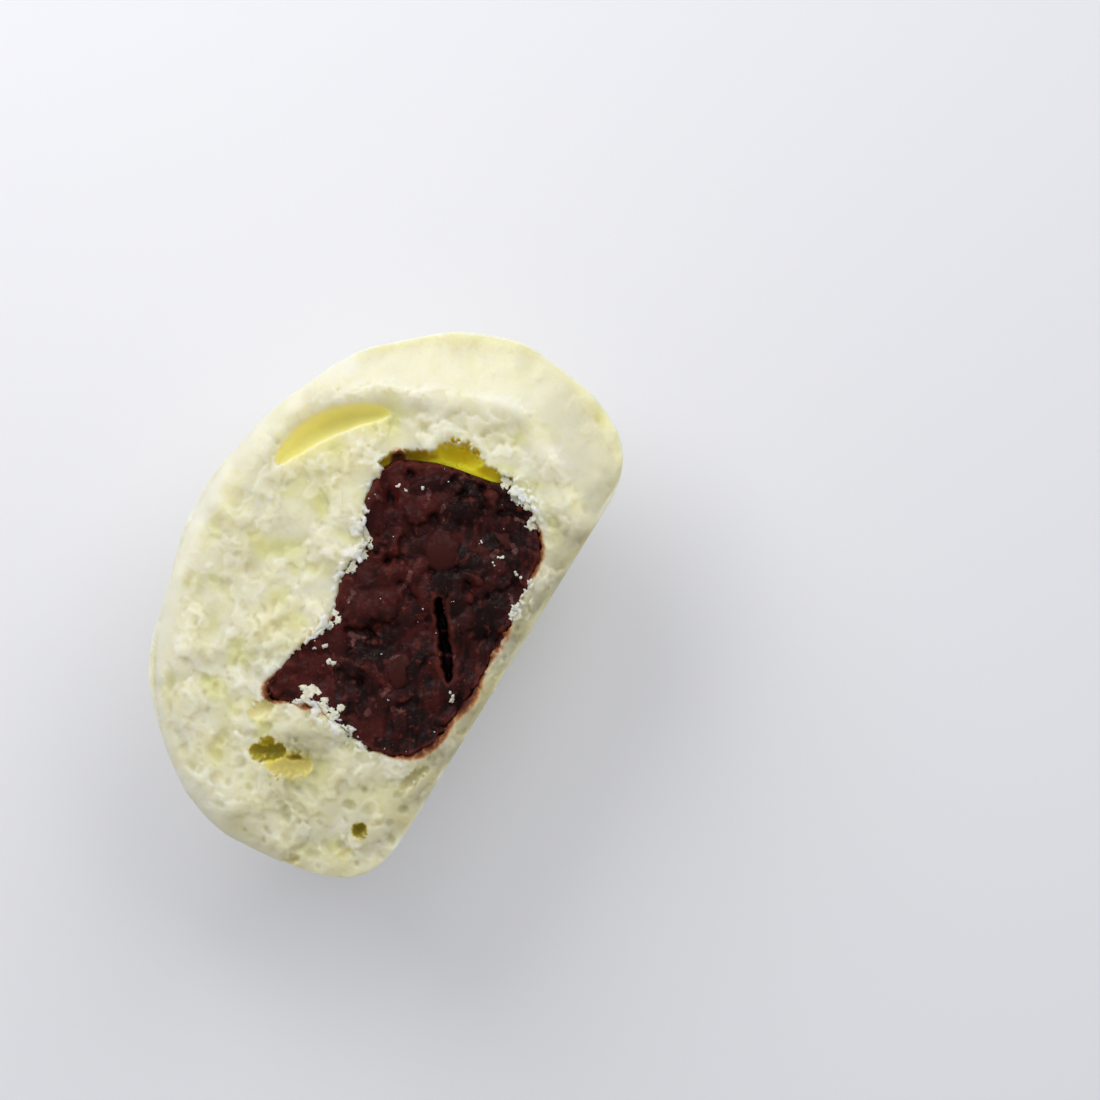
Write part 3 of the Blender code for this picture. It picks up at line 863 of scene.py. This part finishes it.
def crumb_points(field, relief, rim, draw):
    """Points over the torn side: close on the crumb, wider on the skin and inside the hollow."""
    low, high = (-BUN_RADIUS - 1.0, 0.0), (BUN_RADIUS + 2.0, BUN_HEIGHT + 1.0)
    kept_x, kept_h = [], []
    for spacing in (CRUMB_SPACING, SKIN_SPACING, HOLLOW_SPACING):
        x, h = scattered_rows(low, high, spacing, draw)
        here = inside_loop(FACE_MIDDLE + (rim[:, :2] - FACE_MIDDLE) * CLEAR_OF_RIM, x, h)
        away = field.sample(relief["away"], x, h)
        smooth = field.sample(relief["skin"], x, h) > SMOOTH_SKIN
        zone = np.where(smooth, SKIN_SPACING, CRUMB_SPACING)
        zone = np.where(away < DEEP_IN_HOLLOW, HOLLOW_SPACING, zone)
        here &= zone == spacing
        kept_x.append(x[here])
        kept_h.append(h[here])
    return np.concatenate(kept_x), np.concatenate(kept_h)


def bun(field, relief, draw):
    """The dough: torn crumb, its hollow for the paste and the smooth skin, as one closed mesh."""
    angle = rim_angles()
    dip = rim_dips(angle, field, relief["height"])
    rim = skin_points(angle, dip)
    flat, faces, rim_index = fill_loop(rim[:, :2], *crumb_points(field, relief, rim, draw))
    px, ph = flat[:, 0], flat[:, 1]
    face = np.stack([px, ph, FACE_Z + field.sample(relief["height"], px, ph)], -1)
    face[rim_index] = rim
    upper_faces = len(faces)
    points = np.concatenate([face, *skin_below(angle, dip, np.array(rim_index), len(face), faces)])

    skin_count = len(points) - len(face)
    attributes = {}
    for key in ATTRIBUTES:
        inner = field.sample(relief[key], px, ph)
        outside = 1.0 if key == "skin" else 0.0
        attributes[key] = np.concatenate([inner, np.full(skin_count, outside)])
    layout = (upper_faces, *half_layouts(points))
    obj = make_mesh("steamed_bun", points, faces, dough_material(), attributes, layout)
    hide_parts("bun")


def pack_scraps(field, base, bend, top, tone, draw):
    """Scraps of bean packed over the top, each with its own size, tilt and tone."""
    low_x, low_h = OUTLINE.min(axis=0) - 1.0
    high_x, high_h = OUTLINE.max(axis=0) + 1.0
    for _ in range(CHUNK_COUNT):
        cx, ch = draw.uniform(low_x, high_x), draw.uniform(low_h, high_h)
        size = CHUNK_RADII[0] + (CHUNK_RADII[1] - CHUNK_RADII[0]) * draw.random() ** CHUNK_SKEW
        long_half, short_half = size * draw.uniform(1.0, 1.9), size * draw.uniform(0.5, 1.0)
        angle = draw.uniform(0.0, math.pi)
        where = field.window(cx, ch, long_half * 1.5)
        dx = field.x[where] + bend[0][where] - cx
        dh = field.h[where] + bend[1][where] - ch
        along, across = turned(dx, dh, angle, long_half, short_half)
        q = (np.abs(along) ** 2.5 + np.abs(across) ** 2.5) ** 0.4
        tilt_x, tilt_h = draw.normal(0.0, CHUNK_TILT, 2)
        middle = field.at(base, cx, ch)
        plane = middle + np.clip(tilt_x * dx + tilt_h * dh, -0.6, 0.6)
        scrap = plane + draw.uniform(-0.7, 0.2) + 0.38 * size * dome(q, 0.6)
        scrap = np.where(q < 1.0, scrap, BELOW_ALL)
        higher = scrap > top[where]
        top[where] = np.where(higher, scrap, top[where])
        tone[where] = np.where(higher, draw.random(), tone[where])


def set_beans(field, base, bend, top):
    """Whole beans set in the top. Returns 1 where a bean shows."""
    bean = np.zeros(field.x.shape)
    for index, (bx, bh, long_half, short_half, angle, rise) in enumerate(BEANS):
        where = field.window(bx, bh, long_half * 1.1)
        q = ellipse_reach(field, where, bx, bh, long_half, short_half, math.radians(angle))
        q = q + 0.10 * bend[0][where]
        middle = field.at(base, bx, bh)
        sunk = 0.05 if index == 0 else 0.5
        shell = np.where(q < 1.0, middle - sunk + rise * dome(q, 0.5), BELOW_ALL)
        higher = shell > top[where]
        top[where] = np.where(higher, shell, top[where])
        bean[where] = np.where(higher, 1.0, bean[where])
    return bean


def split_depth(x, h):
    """Depth of the split in the paste."""
    start, end = (np.array(p) for p in CRACK)
    way = end - start
    t = np.clip(((x - start[0]) * way[0] + (h - start[1]) * way[1]) / (way @ way), 0.0, 1.0)
    apart = np.hypot(x - start[0] - way[0] * t, h - start[1] - way[1] * t) + 0.7 * waves(x, h, CRACK_BEND)
    open_half = CRACK_HALF_WIDTH * (0.35 + 0.65 * np.sin(math.pi * np.clip(0.12 + 0.8 * t, 0.0, 1.0)))
    return CRACK_DEPTH * smooth_step((open_half - apart) / CRACK_WALL)


def paste_relief(field, draw):
    """The paste's torn top: packed scraps of bean, whole beans, smears and a split."""
    x, h = field.x, field.h
    base = PASTE_LEVEL + field.crags(PASTE_NOISE, step=5)
    tone = 0.35 + waves(x, h, TONE_WAVES)
    top = base - 0.5 + waves(x, h, TOP_WAVES)
    bend = [waves(x, h, layers) for layers in SCRAP_BENDS]
    pack_scraps(field, base, bend, top, tone, draw)
    top = 0.3 * top + 0.7 * field.blurred(top, 0.2)
    patch = waves(x, h, TONE_PATCHES)
    tone = 0.6 * field.blurred(tone, 0.3) + 0.12 + patch + 0.3 * smooth_step((h - 16.0) / 12.0)
    bean = set_beans(field, base, bend, top)

    smear_place = smooth_step(0.95 - 0.032 * h - 0.01 * x + 1.1 * gradient_noise(x / 7.0, h / 7.0, 52))
    along, across = PICTURE_SIN * x + PICTURE_COS * h, PICTURE_COS * x - PICTURE_SIN * h
    streak = 0.30 * gradient_noise(along / 6.0, across / 0.9, 53)
    streak += 0.14 * gradient_noise(along / 3.0, across / 0.45, 54)
    smear = smear_place * (1.0 - bean) * 0.75
    top = top * (1.0 - smear) + (base - 0.1 + streak) * smear
    tone += 0.9 * streak * smear_place

    top -= split_depth(x, h)
    for at_x, at_h, reach in PASTE_PITS:
        gap = np.hypot(x - at_x + 0.8 * bend[0], h - at_h + 0.8 * bend[1])
        top -= 1.2 * np.exp(-((gap / reach) ** 2))
    top += waves(x, h, PASTE_GRAIN) * (1.0 - 0.8 * bean)
    away = outline_distance(x, h)
    top -= 3.2 * np.clip(away + waves(x, h, PASTE_RAGGED), 0.0, 1.5)
    top += PASTE_LIFT
    # Painted light on the paste: places above their surroundings are painted browner as highlight, and
    # places below them near-black as shade.
    above = (top - field.blurred(top, 0.7)) / 0.5
    return {
        "height": top,
        "base": base,
        "away": away,
        "tone": tone,
        "bean": bean,
        "crevice_shade": np.clip(-above, 0.0, 1.0),
        "crest_highlight": np.clip(above, 0.0, 1.0),
    }


def paste(field, relief, draw):
    """The filling as one closed mesh: the torn top and the rounded rest inside the dough."""
    middle = np.array(PASTE_CENTRE)
    out = OUTLINE - middle
    loop = middle + out * (1.0 + 0.45 / np.hypot(out[:, 0], out[:, 1]))[:, None]
    x, h = scattered_rows(loop.min(axis=0), loop.max(axis=0), PASTE_SPACING, draw)
    here = inside_loop(middle + (loop - middle) * 0.992, x, h)
    flat, faces, loop_index = fill_loop(loop, x[here], h[here])
    px, ph = flat[:, 0], flat[:, 1]
    top = np.stack([px, ph, FACE_Z + field.sample(relief["height"], px, ph)], -1)

    points = [top]
    count = len(top)
    upper_faces = len(faces)
    upper = np.array(loop_index)
    for turn in PASTE_TURNS:
        angle = turn * math.pi / 2
        ring = middle + out * math.cos(angle)
        depth = np.full(len(ring), FACE_Z - PASTE_DEPTH * math.sin(angle))
        points.append(np.column_stack([ring, depth]))
        lower = np.arange(count, count + len(ring))
        for i in range(len(ring)):
            j = (i + 1) % len(ring)
            faces.append((upper[i], upper[j], lower[j], lower[i]))
        upper = lower
        count += len(ring)
    points.append(np.array([[*PASTE_CENTRE, FACE_Z - PASTE_DEPTH]]))
    faces.extend((upper[i], upper[(i + 1) % len(upper)], count) for i in range(len(upper)))
    points = np.concatenate(points)

    attributes = {}
    for key in ("tone", "bean", "crevice_shade", "crest_highlight"):
        inner = field.sample(relief[key], px, ph)
        attributes[key] = np.concatenate([inner, np.zeros(len(points) - len(top))])
    layout = (upper_faces, *half_layouts(points))
    obj = make_mesh(
        "sweet_bean_filling", points, faces, paste_material(), attributes, layout
    )
    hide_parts("bean_paste")


def grains(name, places, material, draw):
    """Small rough lumps as one piece. Each place is x, h, z, radius and flatness."""
    bm = bmesh.new()
    bmesh.ops.create_icosphere(bm, subdivisions=2, radius=1.0)
    ball = np.array([vert.co for vert in bm.verts])
    ball_faces = np.array([[vert.index for vert in face.verts] for face in bm.faces])
    bm.free()
    points, faces = [], []
    for x, h, z, radius, flat in places:
        bulge = np.ones(len(ball))
        for waves, height in ((1.8, 0.22), (2.6, 0.20), (5.0, 0.13), (6.5, 0.10)):
            way = draw.normal(0.0, 1.0, 3)
            bulge += height * np.cos(ball @ way * waves / np.linalg.norm(way) + draw.uniform(0, math.tau))
        turn = np.array(Euler(draw.uniform(0.0, math.tau, 3)).to_matrix())
        spread = (draw.uniform(0.9, 1.6), draw.uniform(0.6, 1.0), draw.uniform(0.6, 1.0))
        lump = (ball * bulge[:, None] * spread) @ turn.T * (radius, radius, radius * flat)
        faces.append(ball_faces + len(points) * len(ball))
        points.append(lump + (x, h, z))
    make_mesh(name, np.concatenate(points), np.concatenate(faces), material)


def flakes(name, field, thickness, base, material):
    """Rough scraps that lie on a surface, as one piece, wherever the thickness is above 0."""
    solid = thickness > 0.0
    full = solid[:-1, :-1] & solid[1:, :-1] & solid[:-1, 1:] & solid[1:, 1:]
    number = np.arange(solid.size).reshape(solid.shape)
    count = solid.size
    corners = np.stack([number[:-1, :-1], number[:-1, 1:], number[1:, 1:], number[1:, :-1]], -1)
    sides = [corners[full], corners[full][:, ::-1] + count]
    padded = np.pad(full, 1)
    for (first, second), open_side in (
        ((0, 1), ~padded[:-2, 1:-1]), ((1, 2), ~padded[1:-1, 2:]),
        ((2, 3), ~padded[2:, 1:-1]), ((3, 0), ~padded[1:-1, :-2]),
    ):
        edge = corners[full & open_side]
        a, b = edge[:, first], edge[:, second]
        sides.append(np.stack([b, a, a + count, b + count], -1))
    faces = np.concatenate(sides)
    flat = np.stack([field.x, field.h], -1).reshape(-1, 2)
    top = np.column_stack([flat, FACE_Z + (base + thickness).ravel()])
    bottom = np.column_stack([flat, FACE_Z + (base - 0.2).ravel()])
    used, faces = np.unique(faces, return_inverse=True)
    make_mesh(name, np.concatenate([top, bottom])[used], faces.reshape(-1, 4), material)


def clump_thickness(field, clumps, seed):
    """Thickness over the field of ragged clumps, each given as x, h and size."""
    x, h = field.x, field.h
    rough = waves(x, h, ((1.3, 0.38, seed), (0.6, 0.34, seed + 1), (0.3, 0.26, seed + 2)))
    thickness = np.full(x.shape, -1.0)
    for at_x, at_h, size in clumps:
        where = field.window(at_x, at_h, 2.0 * size)
        gap = np.hypot(field.x[where] - at_x, field.h[where] - at_h) / size
        thickness[where] = np.maximum(thickness[where], size * (0.7 - gap + 0.6 * rough[where]))
    return np.minimum(thickness, 0.3) + np.where(thickness > 0.0, 0.05 + 0.3 * np.abs(rough), 0.0)


def from_photo(px, py):
    """Place on the torn face of a point in the camera's picture."""
    return (
        (PICTURE_COS * px - PICTURE_SIN * py + PICTURE_CORNER[0]) * MM_PER_PIXEL,
        (-PICTURE_SIN * px - PICTURE_COS * py + PICTURE_CORNER[1]) * MM_PER_PIXEL,
    )


def inward(spot, step):
    """The place a step inward from a point of the paste's outline."""
    way = np.array(PASTE_CENTRE) - spot
    return spot + way / np.hypot(*way) * step


def scatter(field, relief, draw):
    """White crumbs and frayed bits of dough on the paste, and bits of bean skin."""
    loose = []
    for px, py, size in CRUMB_SPOTS:
        for _ in range(CLUMP_PARTS):
            x, h = from_photo(px, py) + draw.normal(0.0, 0.4 * size, 2)
            loose.append((x, h, size * draw.uniform(0.4, 0.72)))
    frayed = []
    for fx, fh in FRAY_SPOTS:
        near = OUTLINE[np.argsort(np.hypot(OUTLINE[:, 0] - fx, OUTLINE[:, 1] - fh))[:9]]
        for _ in range(FRAY_COUNT):
            x, h = inward(near[draw.integers(len(near))], draw.normal(-0.3, 0.5))
            frayed.append((x, h, draw.uniform(0.8, 1.8)))
    husks = []
    for _ in range(HUSK_COUNT):
        x, h = draw.uniform(-22, 25), draw.uniform(4, 34)
        if field.at(relief["away"], x, h) < -0.8:
            way = draw.normal(0.0, 0.55, 2)
            for part in range(CLUMP_PARTS):
                husks.append((x + part * way[0], h + part * way[1], draw.uniform(0.4, 0.9)))

    bits = crumb_material()
    lying = np.maximum(relief["height"], relief["base"] - 0.1)
    flakes("loose_crumbs", field, clump_thickness(field, loose, 91), lying, bits)
    flakes("frayed_crumb", field, clump_thickness(field, frayed, 95), lying, bits)
    skins = HUSK_THINNESS * clump_thickness(field, husks, 98)
    flakes("bean_skins", field, skins, relief["height"], husk_material())
    dust = []
    for _ in range(DUST_COUNT):
        x, h = inward(OUTLINE[draw.integers(len(OUTLINE))], draw.exponential(3.0))
        radius = draw.uniform(0.05, 0.13)
        dust.append((x, h, FACE_Z + field.at(relief["height"], x, h) + radius * 0.5, radius, 0.8))
    grains("crumb_dust", dust, bits, draw)


class Look:
    """A node material, built call by call."""

    def __init__(self, name):
        self.material = bpy.data.materials.new(name)
        self.material.use_nodes = True
        self.nodes = self.material.node_tree.nodes
        self.links = self.material.node_tree.links
        self.shader = self.nodes["Principled BSDF"]
        self.place = self.nodes.new("ShaderNodeTexCoord").outputs["Object"]

    def put(self, socket, value):
        """Sets a socket to a number or a colour, or joins another socket to it."""
        if isinstance(value, bpy.types.NodeSocket):
            self.links.new(value, socket)
        elif isinstance(value, tuple) and len(value) == 3 and socket.type == "RGBA":
            socket.default_value = (*value, 1.0)
        else:
            socket.default_value = value

    def attribute(self, name):
        node = self.nodes.new("ShaderNodeAttribute")
        node.attribute_name = name
        return node.outputs["Fac"]

    def noise(self, size_mm, detail=3.0, roughness=0.55):
        """Random waves of about this size in millimetres, 0 to 1."""
        node = self.nodes.new("ShaderNodeTexNoise")
        self.put(node.inputs["Vector"], self.place)
        node.inputs["Scale"].default_value = 1000.0 / size_mm
        node.inputs["Detail"].default_value = detail
        node.inputs["Roughness"].default_value = roughness
        return node.outputs["Fac"]

    def math(self, operation, first, second=0.0):
        node = self.nodes.new("ShaderNodeMath")
        node.operation = operation
        node.use_clamp = True
        self.put(node.inputs[0], first)
        self.put(node.inputs[1], second)
        return node.outputs[0]

    def between(self, value, low, high, to_low=0.0, to_high=1.0):
        """The value, from low to high, turned smoothly into to_low to to_high."""
        node = self.nodes.new("ShaderNodeMapRange")
        node.interpolation_type = "SMOOTHSTEP"
        self.put(node.inputs["Value"], value)
        for key, number in (("From Min", low), ("From Max", high), ("To Min", to_low), ("To Max", to_high)):
            node.inputs[key].default_value = number
        return node.outputs["Result"]

    def share(self, name, *limits):
        """A point attribute, between limits as in between."""
        return self.between(self.attribute(name), *limits)

    def patches(self, waves, *limits):
        """Random waves, given as noise takes them, between limits as in between."""
        return self.between(self.noise(*waves), *limits)

    def mix(self, factor, first, second, blend="MIX"):
        node = self.nodes.new("ShaderNodeMix")
        node.data_type = "RGBA"
        node.blend_type = blend
        self.put(node.inputs["Factor"], factor)
        self.put(node.inputs["A"], first)
        self.put(node.inputs["B"], second)
        return node.outputs["Result"]

    def ramp(self, value, stops):
        """Colours along the value, given as (place, colour)."""
        node = self.nodes.new("ShaderNodeValToRGB")
        self.put(node.inputs["Fac"], value)
        elements = node.color_ramp.elements
        while len(elements) < len(stops):
            elements.new(0.5)
        for element, (place, colour) in zip(elements, stops):
            element.position = place
            element.color = (*colour, 1.0)
        return node.outputs["Color"]

    def bump(self, height, distance_mm, strength=1.0, under=None):
        node = self.nodes.new("ShaderNodeBump")
        node.inputs["Distance"].default_value = distance_mm * MM
        node.inputs["Strength"].default_value = strength
        self.put(node.inputs["Height"], height)
        if under is not None:
            self.put(node.inputs["Normal"], under)
        return node.outputs["Normal"]

    def finish(self, **values):
        for key, value in values.items():
            self.put(self.shader.inputs[key.replace("_", " ")], value)
        return self.material


CRUMB_PALE = srgb(231, 228, 204)
CRUMB_WARM = srgb(226, 220, 180)
# Yellow painted on low-lying crumb as glow of light through the dough.
PAINTED_LOW_GLOW = srgb(222, 219, 144)
# Colour painted into the crumb's pits as shade.
CRUMB_PIT_SHADE = srgb(214, 209, 160)
# White of the tufts, and also the painted highlight on raised crumb.
CRUMB_WHITE = srgb(238, 235, 221)
CRUMB_DULL = srgb(226, 221, 202)
FALLEN_CRUMB = srgb(233, 229, 198)
# Yellow painted inside the pockets as glow of light through the dough.
POCKET_GLOW_RAMP = (
    (0.0, srgb(226, 220, 180)), (0.3, srgb(255, 243, 160)), (0.72, srgb(255, 228, 34)),
    (1.0, srgb(196, 180, 66)),
)
# Grey multiplied into the dough as painted shade.
PAINTED_SHADE_COLOUR = srgb(208, 207, 200)
FLOOR_COLOUR = srgb(240, 240, 245)
SKIN_PALE = srgb(236, 234, 217)
SKIN_WARM = srgb(231, 227, 198)
STAIN_RAMP = (
    (0.0, srgb(222, 202, 160)), (0.3, srgb(182, 124, 70)), (0.65, srgb(104, 54, 34)),
    (1.0, srgb(50, 22, 17)),
)


def dough_material():
    """Steamed dough: matt pale crumb with painted light and shade (yellow glow where it lies low and in its
    pockets, white highlight on its puffs, shade in its pits and towards the base), and satin skin outside.
    """
    look = Look("steamed_dough")
    skin = look.share("skin", 0.15, 0.9)
    patches = look.patches((7.0, 2.0), 0.35, 0.7)
    crumb = look.mix(patches, CRUMB_PALE, CRUMB_WARM)
    crumb = look.mix(look.attribute("fallen"), crumb, FALLEN_CRUMB)
    # Painted glow: low-lying crumb painted yellower and a little darker.
    crumb = look.mix(look.share("hollow", 0.02, 0.9, 0.0, 0.72), crumb, PAINTED_LOW_GLOW)
    # Painted highlight: raised puffs and the ridge's crest painted whiter.
    crumb = look.mix(look.share("puff_highlight", 0.1, 0.9, 0.0, 0.45), crumb, CRUMB_WHITE)
    # Painted shade in the crumb's pits, with a fine random speckle of the same colour.
    fine_pits = look.patches((0.8, 4.0, 0.6), 0.54, 0.72, 0.0, 0.3)
    pits = look.math("ADD", look.share("pit_shade", 0.1, 1.0, 0.0, 0.45), fine_pits)
    crumb = look.mix(pits, crumb, CRUMB_PIT_SHADE)
    crumb = look.mix(look.share("tuft", 0.1, 0.8, 0.0, 0.8), crumb, CRUMB_WHITE)
    # Painted glow inside the pockets and in the opened gap.
    inside = look.ramp(look.attribute("pocket_glow"), POCKET_GLOW_RAMP)
    crumb = look.mix(look.attribute("opened"), crumb, inside)
    outer = look.mix(look.patches((11.0, 2.0), 0.3, 0.7), SKIN_PALE, SKIN_WARM)
    colour = look.mix(skin, crumb, outer)
    # Painted shade: darker towards the base, the low end and the shady spots.
    colour = look.mix(look.share("painted_shade", 0.0, 1.0), colour, PAINTED_SHADE_COLOUR, "MULTIPLY")
    stain = look.attribute("stain")
    soaked = look.math("MULTIPLY", stain, look.patches((1.4, 4.0, 0.65), 0.25, 0.6, 0.55, 1.2))
    colour = look.mix(look.between(soaked, 0.03, 0.5), colour, look.ramp(soaked, STAIN_RAMP))

    rough = look.between(skin, 0.0, 1.0, 0.88, 0.56)
    grain = look.bump(look.noise(0.45, 4.0, 0.7), 0.08, 0.35)
    smooth = look.bump(look.noise(1.6, 3.0, 0.5), 0.03, 0.4)
    vector = look.nodes.new("ShaderNodeMix")
    vector.data_type = "VECTOR"
    look.put(vector.inputs["Factor"], skin)
    look.put(vector.inputs[4], grain)
    look.put(vector.inputs[5], smooth)
    return look.finish(
        Base_Color=colour, Roughness=rough, Normal=vector.outputs[1],
        Subsurface_Weight=look.between(soaked, 0.02, 0.3, 1.0, 0.0),
        Subsurface_Scale=0.0035, Subsurface_Radius=(1.0, 0.85, 0.42), Specular_IOR_Level=0.3,
    )


def crumb_material():
    """White scraps of crumb."""
    look = Look("white_crumb")
    colour = look.mix(look.patches((0.7, 3.0), 0.35, 0.65), CRUMB_DULL, CRUMB_PALE)
    return look.finish(
        Base_Color=colour, Roughness=0.85, Normal=look.bump(look.noise(0.25, 3.0), 0.08, 0.6),
        Subsurface_Weight=0.6, Subsurface_Scale=0.0008, Subsurface_Radius=(1.0, 0.85, 0.5),
        Specular_IOR_Level=0.3,
    )


HUSK_RED = srgb(66, 24, 21)
HUSK_BROWN = srgb(92, 40, 33)
PASTE_DARK = srgb(24, 7, 7)
PASTE_RED = srgb(66, 21, 18)
PASTE_BROWN = srgb(104, 44, 36)
PASTE_FLECK = srgb(134, 74, 60)
BEAN_SKIN = srgb(58, 21, 17)
# Near-black painted into the paste's crevices as shade.
CREVICE_SHADE = srgb(12, 4, 4)


def paste_material():
    """Moist bean paste: near-black red, browner husks and skins, painted highlight on raised places and
    painted shade in crevices, uneven gloss.
    """
    look = Look("sweet_bean_paste")
    colour = look.mix(look.share("tone", 0.12, 0.95), PASTE_DARK, PASTE_RED)
    husk = look.patches((1.7, 4.0, 0.6), 0.55, 0.68)
    colour = look.mix(look.math("MULTIPLY", husk, 0.5), colour, PASTE_BROWN)
    fleck = look.patches((0.9, 5.0, 0.7), 0.62, 0.72, 0.0, 0.7)
    colour = look.mix(fleck, colour, PASTE_FLECK)
    # Painted highlight: raised paste painted browner.
    colour = look.mix(look.share("crest_highlight", 0.3, 1.0, 0.0, 0.35), colour, PASTE_BROWN)
    colour = look.mix(look.share("bean", 0.3, 0.8), colour, BEAN_SKIN)
    # Painted shade: crevices painted near-black.
    colour = look.mix(look.share("crevice_shade", 0.12, 1.2), colour, CREVICE_SHADE)
    rough = look.patches((1.1, 4.0, 0.65), 0.36, 0.60, 0.22, 0.75)
    normal = look.bump(look.noise(0.4, 5.0, 0.7), 0.10, 0.6)
    return look.finish(Base_Color=colour, Roughness=rough, Normal=normal, Specular_IOR_Level=0.12)


def husk_material():
    """Bits of bean skin, redder and browner than the paste."""
    look = Look("bean_skin")
    colour = look.mix(look.patches((1.2, 3.0), 0.35, 0.65), HUSK_RED, HUSK_BROWN)
    return look.finish(
        Base_Color=colour, Roughness=0.5, Normal=look.bump(look.noise(0.3, 3.0), 0.06, 0.5),
        Specular_IOR_Level=0.4,
    )


def stage():
    """A pale floor, soft light and the camera."""
    floor_mesh = bpy.data.meshes.new("floor")
    corners = [(FLOOR_HALF * i, FLOOR_HALF * j, 0.0) for i, j in ((-1, -1), (1, -1), (1, 1), (-1, 1))]
    floor_mesh.from_pydata(corners, [], [(0, 1, 2, 3)])
    floor = bpy.data.objects.new("floor", floor_mesh)
    bpy.context.scene.collection.objects.link(floor)
    floor_mesh.materials.append(Look("floor").finish(Base_Color=FLOOR_COLOUR, Roughness=0.8))

    world = bpy.data.worlds.new("soft_room")
    world.use_nodes = True
    background = world.node_tree.nodes["Background"]
    background.inputs["Color"].default_value = (*WORLD_COLOUR, 1.0)
    background.inputs["Strength"].default_value = WORLD_STRENGTH
    bpy.context.scene.world = world

    target = to_frame([VIEW_TARGET])[0]
    up_x, up_y = -math.sin(math.radians(VIEW_AZIMUTH)), math.cos(math.radians(VIEW_AZIMUTH))
    for name, ahead, aside, height, size, power in LAMPS:
        lamp = bpy.data.lights.new(name, "AREA")
        lamp.size = size
        lamp.energy = power
        obj = bpy.data.objects.new(name, lamp)
        spot = Vector(target) + Vector((up_x, up_y, 0)) * ahead + Vector((up_y, -up_x, 0)) * aside
        obj.location = spot + Vector((0, 0, height))
        obj.rotation_euler = (Vector(target) - obj.location).to_track_quat("-Z", "Y").to_euler()
        bpy.context.scene.collection.objects.link(obj)

    azimuth, elevation = math.radians(VIEW_AZIMUTH), math.radians(VIEW_ELEVATION)
    back = Vector((
        math.sin(azimuth) * math.cos(elevation),
        -math.cos(azimuth) * math.cos(elevation),
        math.sin(elevation),
    ))
    data = bpy.data.cameras.new("camera")
    data.lens = LENS
    data.sensor_width = SENSOR
    camera = bpy.data.objects.new("camera", data)
    distance = PHOTO_SIDE * MM_PER_PIXEL * MM * LENS / SENSOR
    camera.location = Vector(target) + back * distance
    camera.rotation_mode = "QUATERNION"
    camera.rotation_quaternion = (-back).to_track_quat("-Z", "Y")
    bpy.context.scene.collection.objects.link(camera)
    bpy.context.scene.camera = camera
    bpy.context.scene.view_settings.view_transform = "Standard"


def main():
    draw = np.random.default_rng(SEED)
    reach = BUN_RADIUS + 3.0
    crumb_field = Field((-reach, -2.0), (reach, BUN_HEIGHT + 3.0), CRUMB_CELL)
    crumb = crumb_relief(crumb_field, draw)
    bun(crumb_field, crumb, draw)
    low, high = OUTLINE.min(axis=0) - 2.0, OUTLINE.max(axis=0) + 2.0
    paste_field = Field(tuple(low), tuple(high), PASTE_CELL)
    top = paste_relief(paste_field, draw)
    paste(paste_field, top, draw)
    scatter(paste_field, top, draw)
    stage()


main()
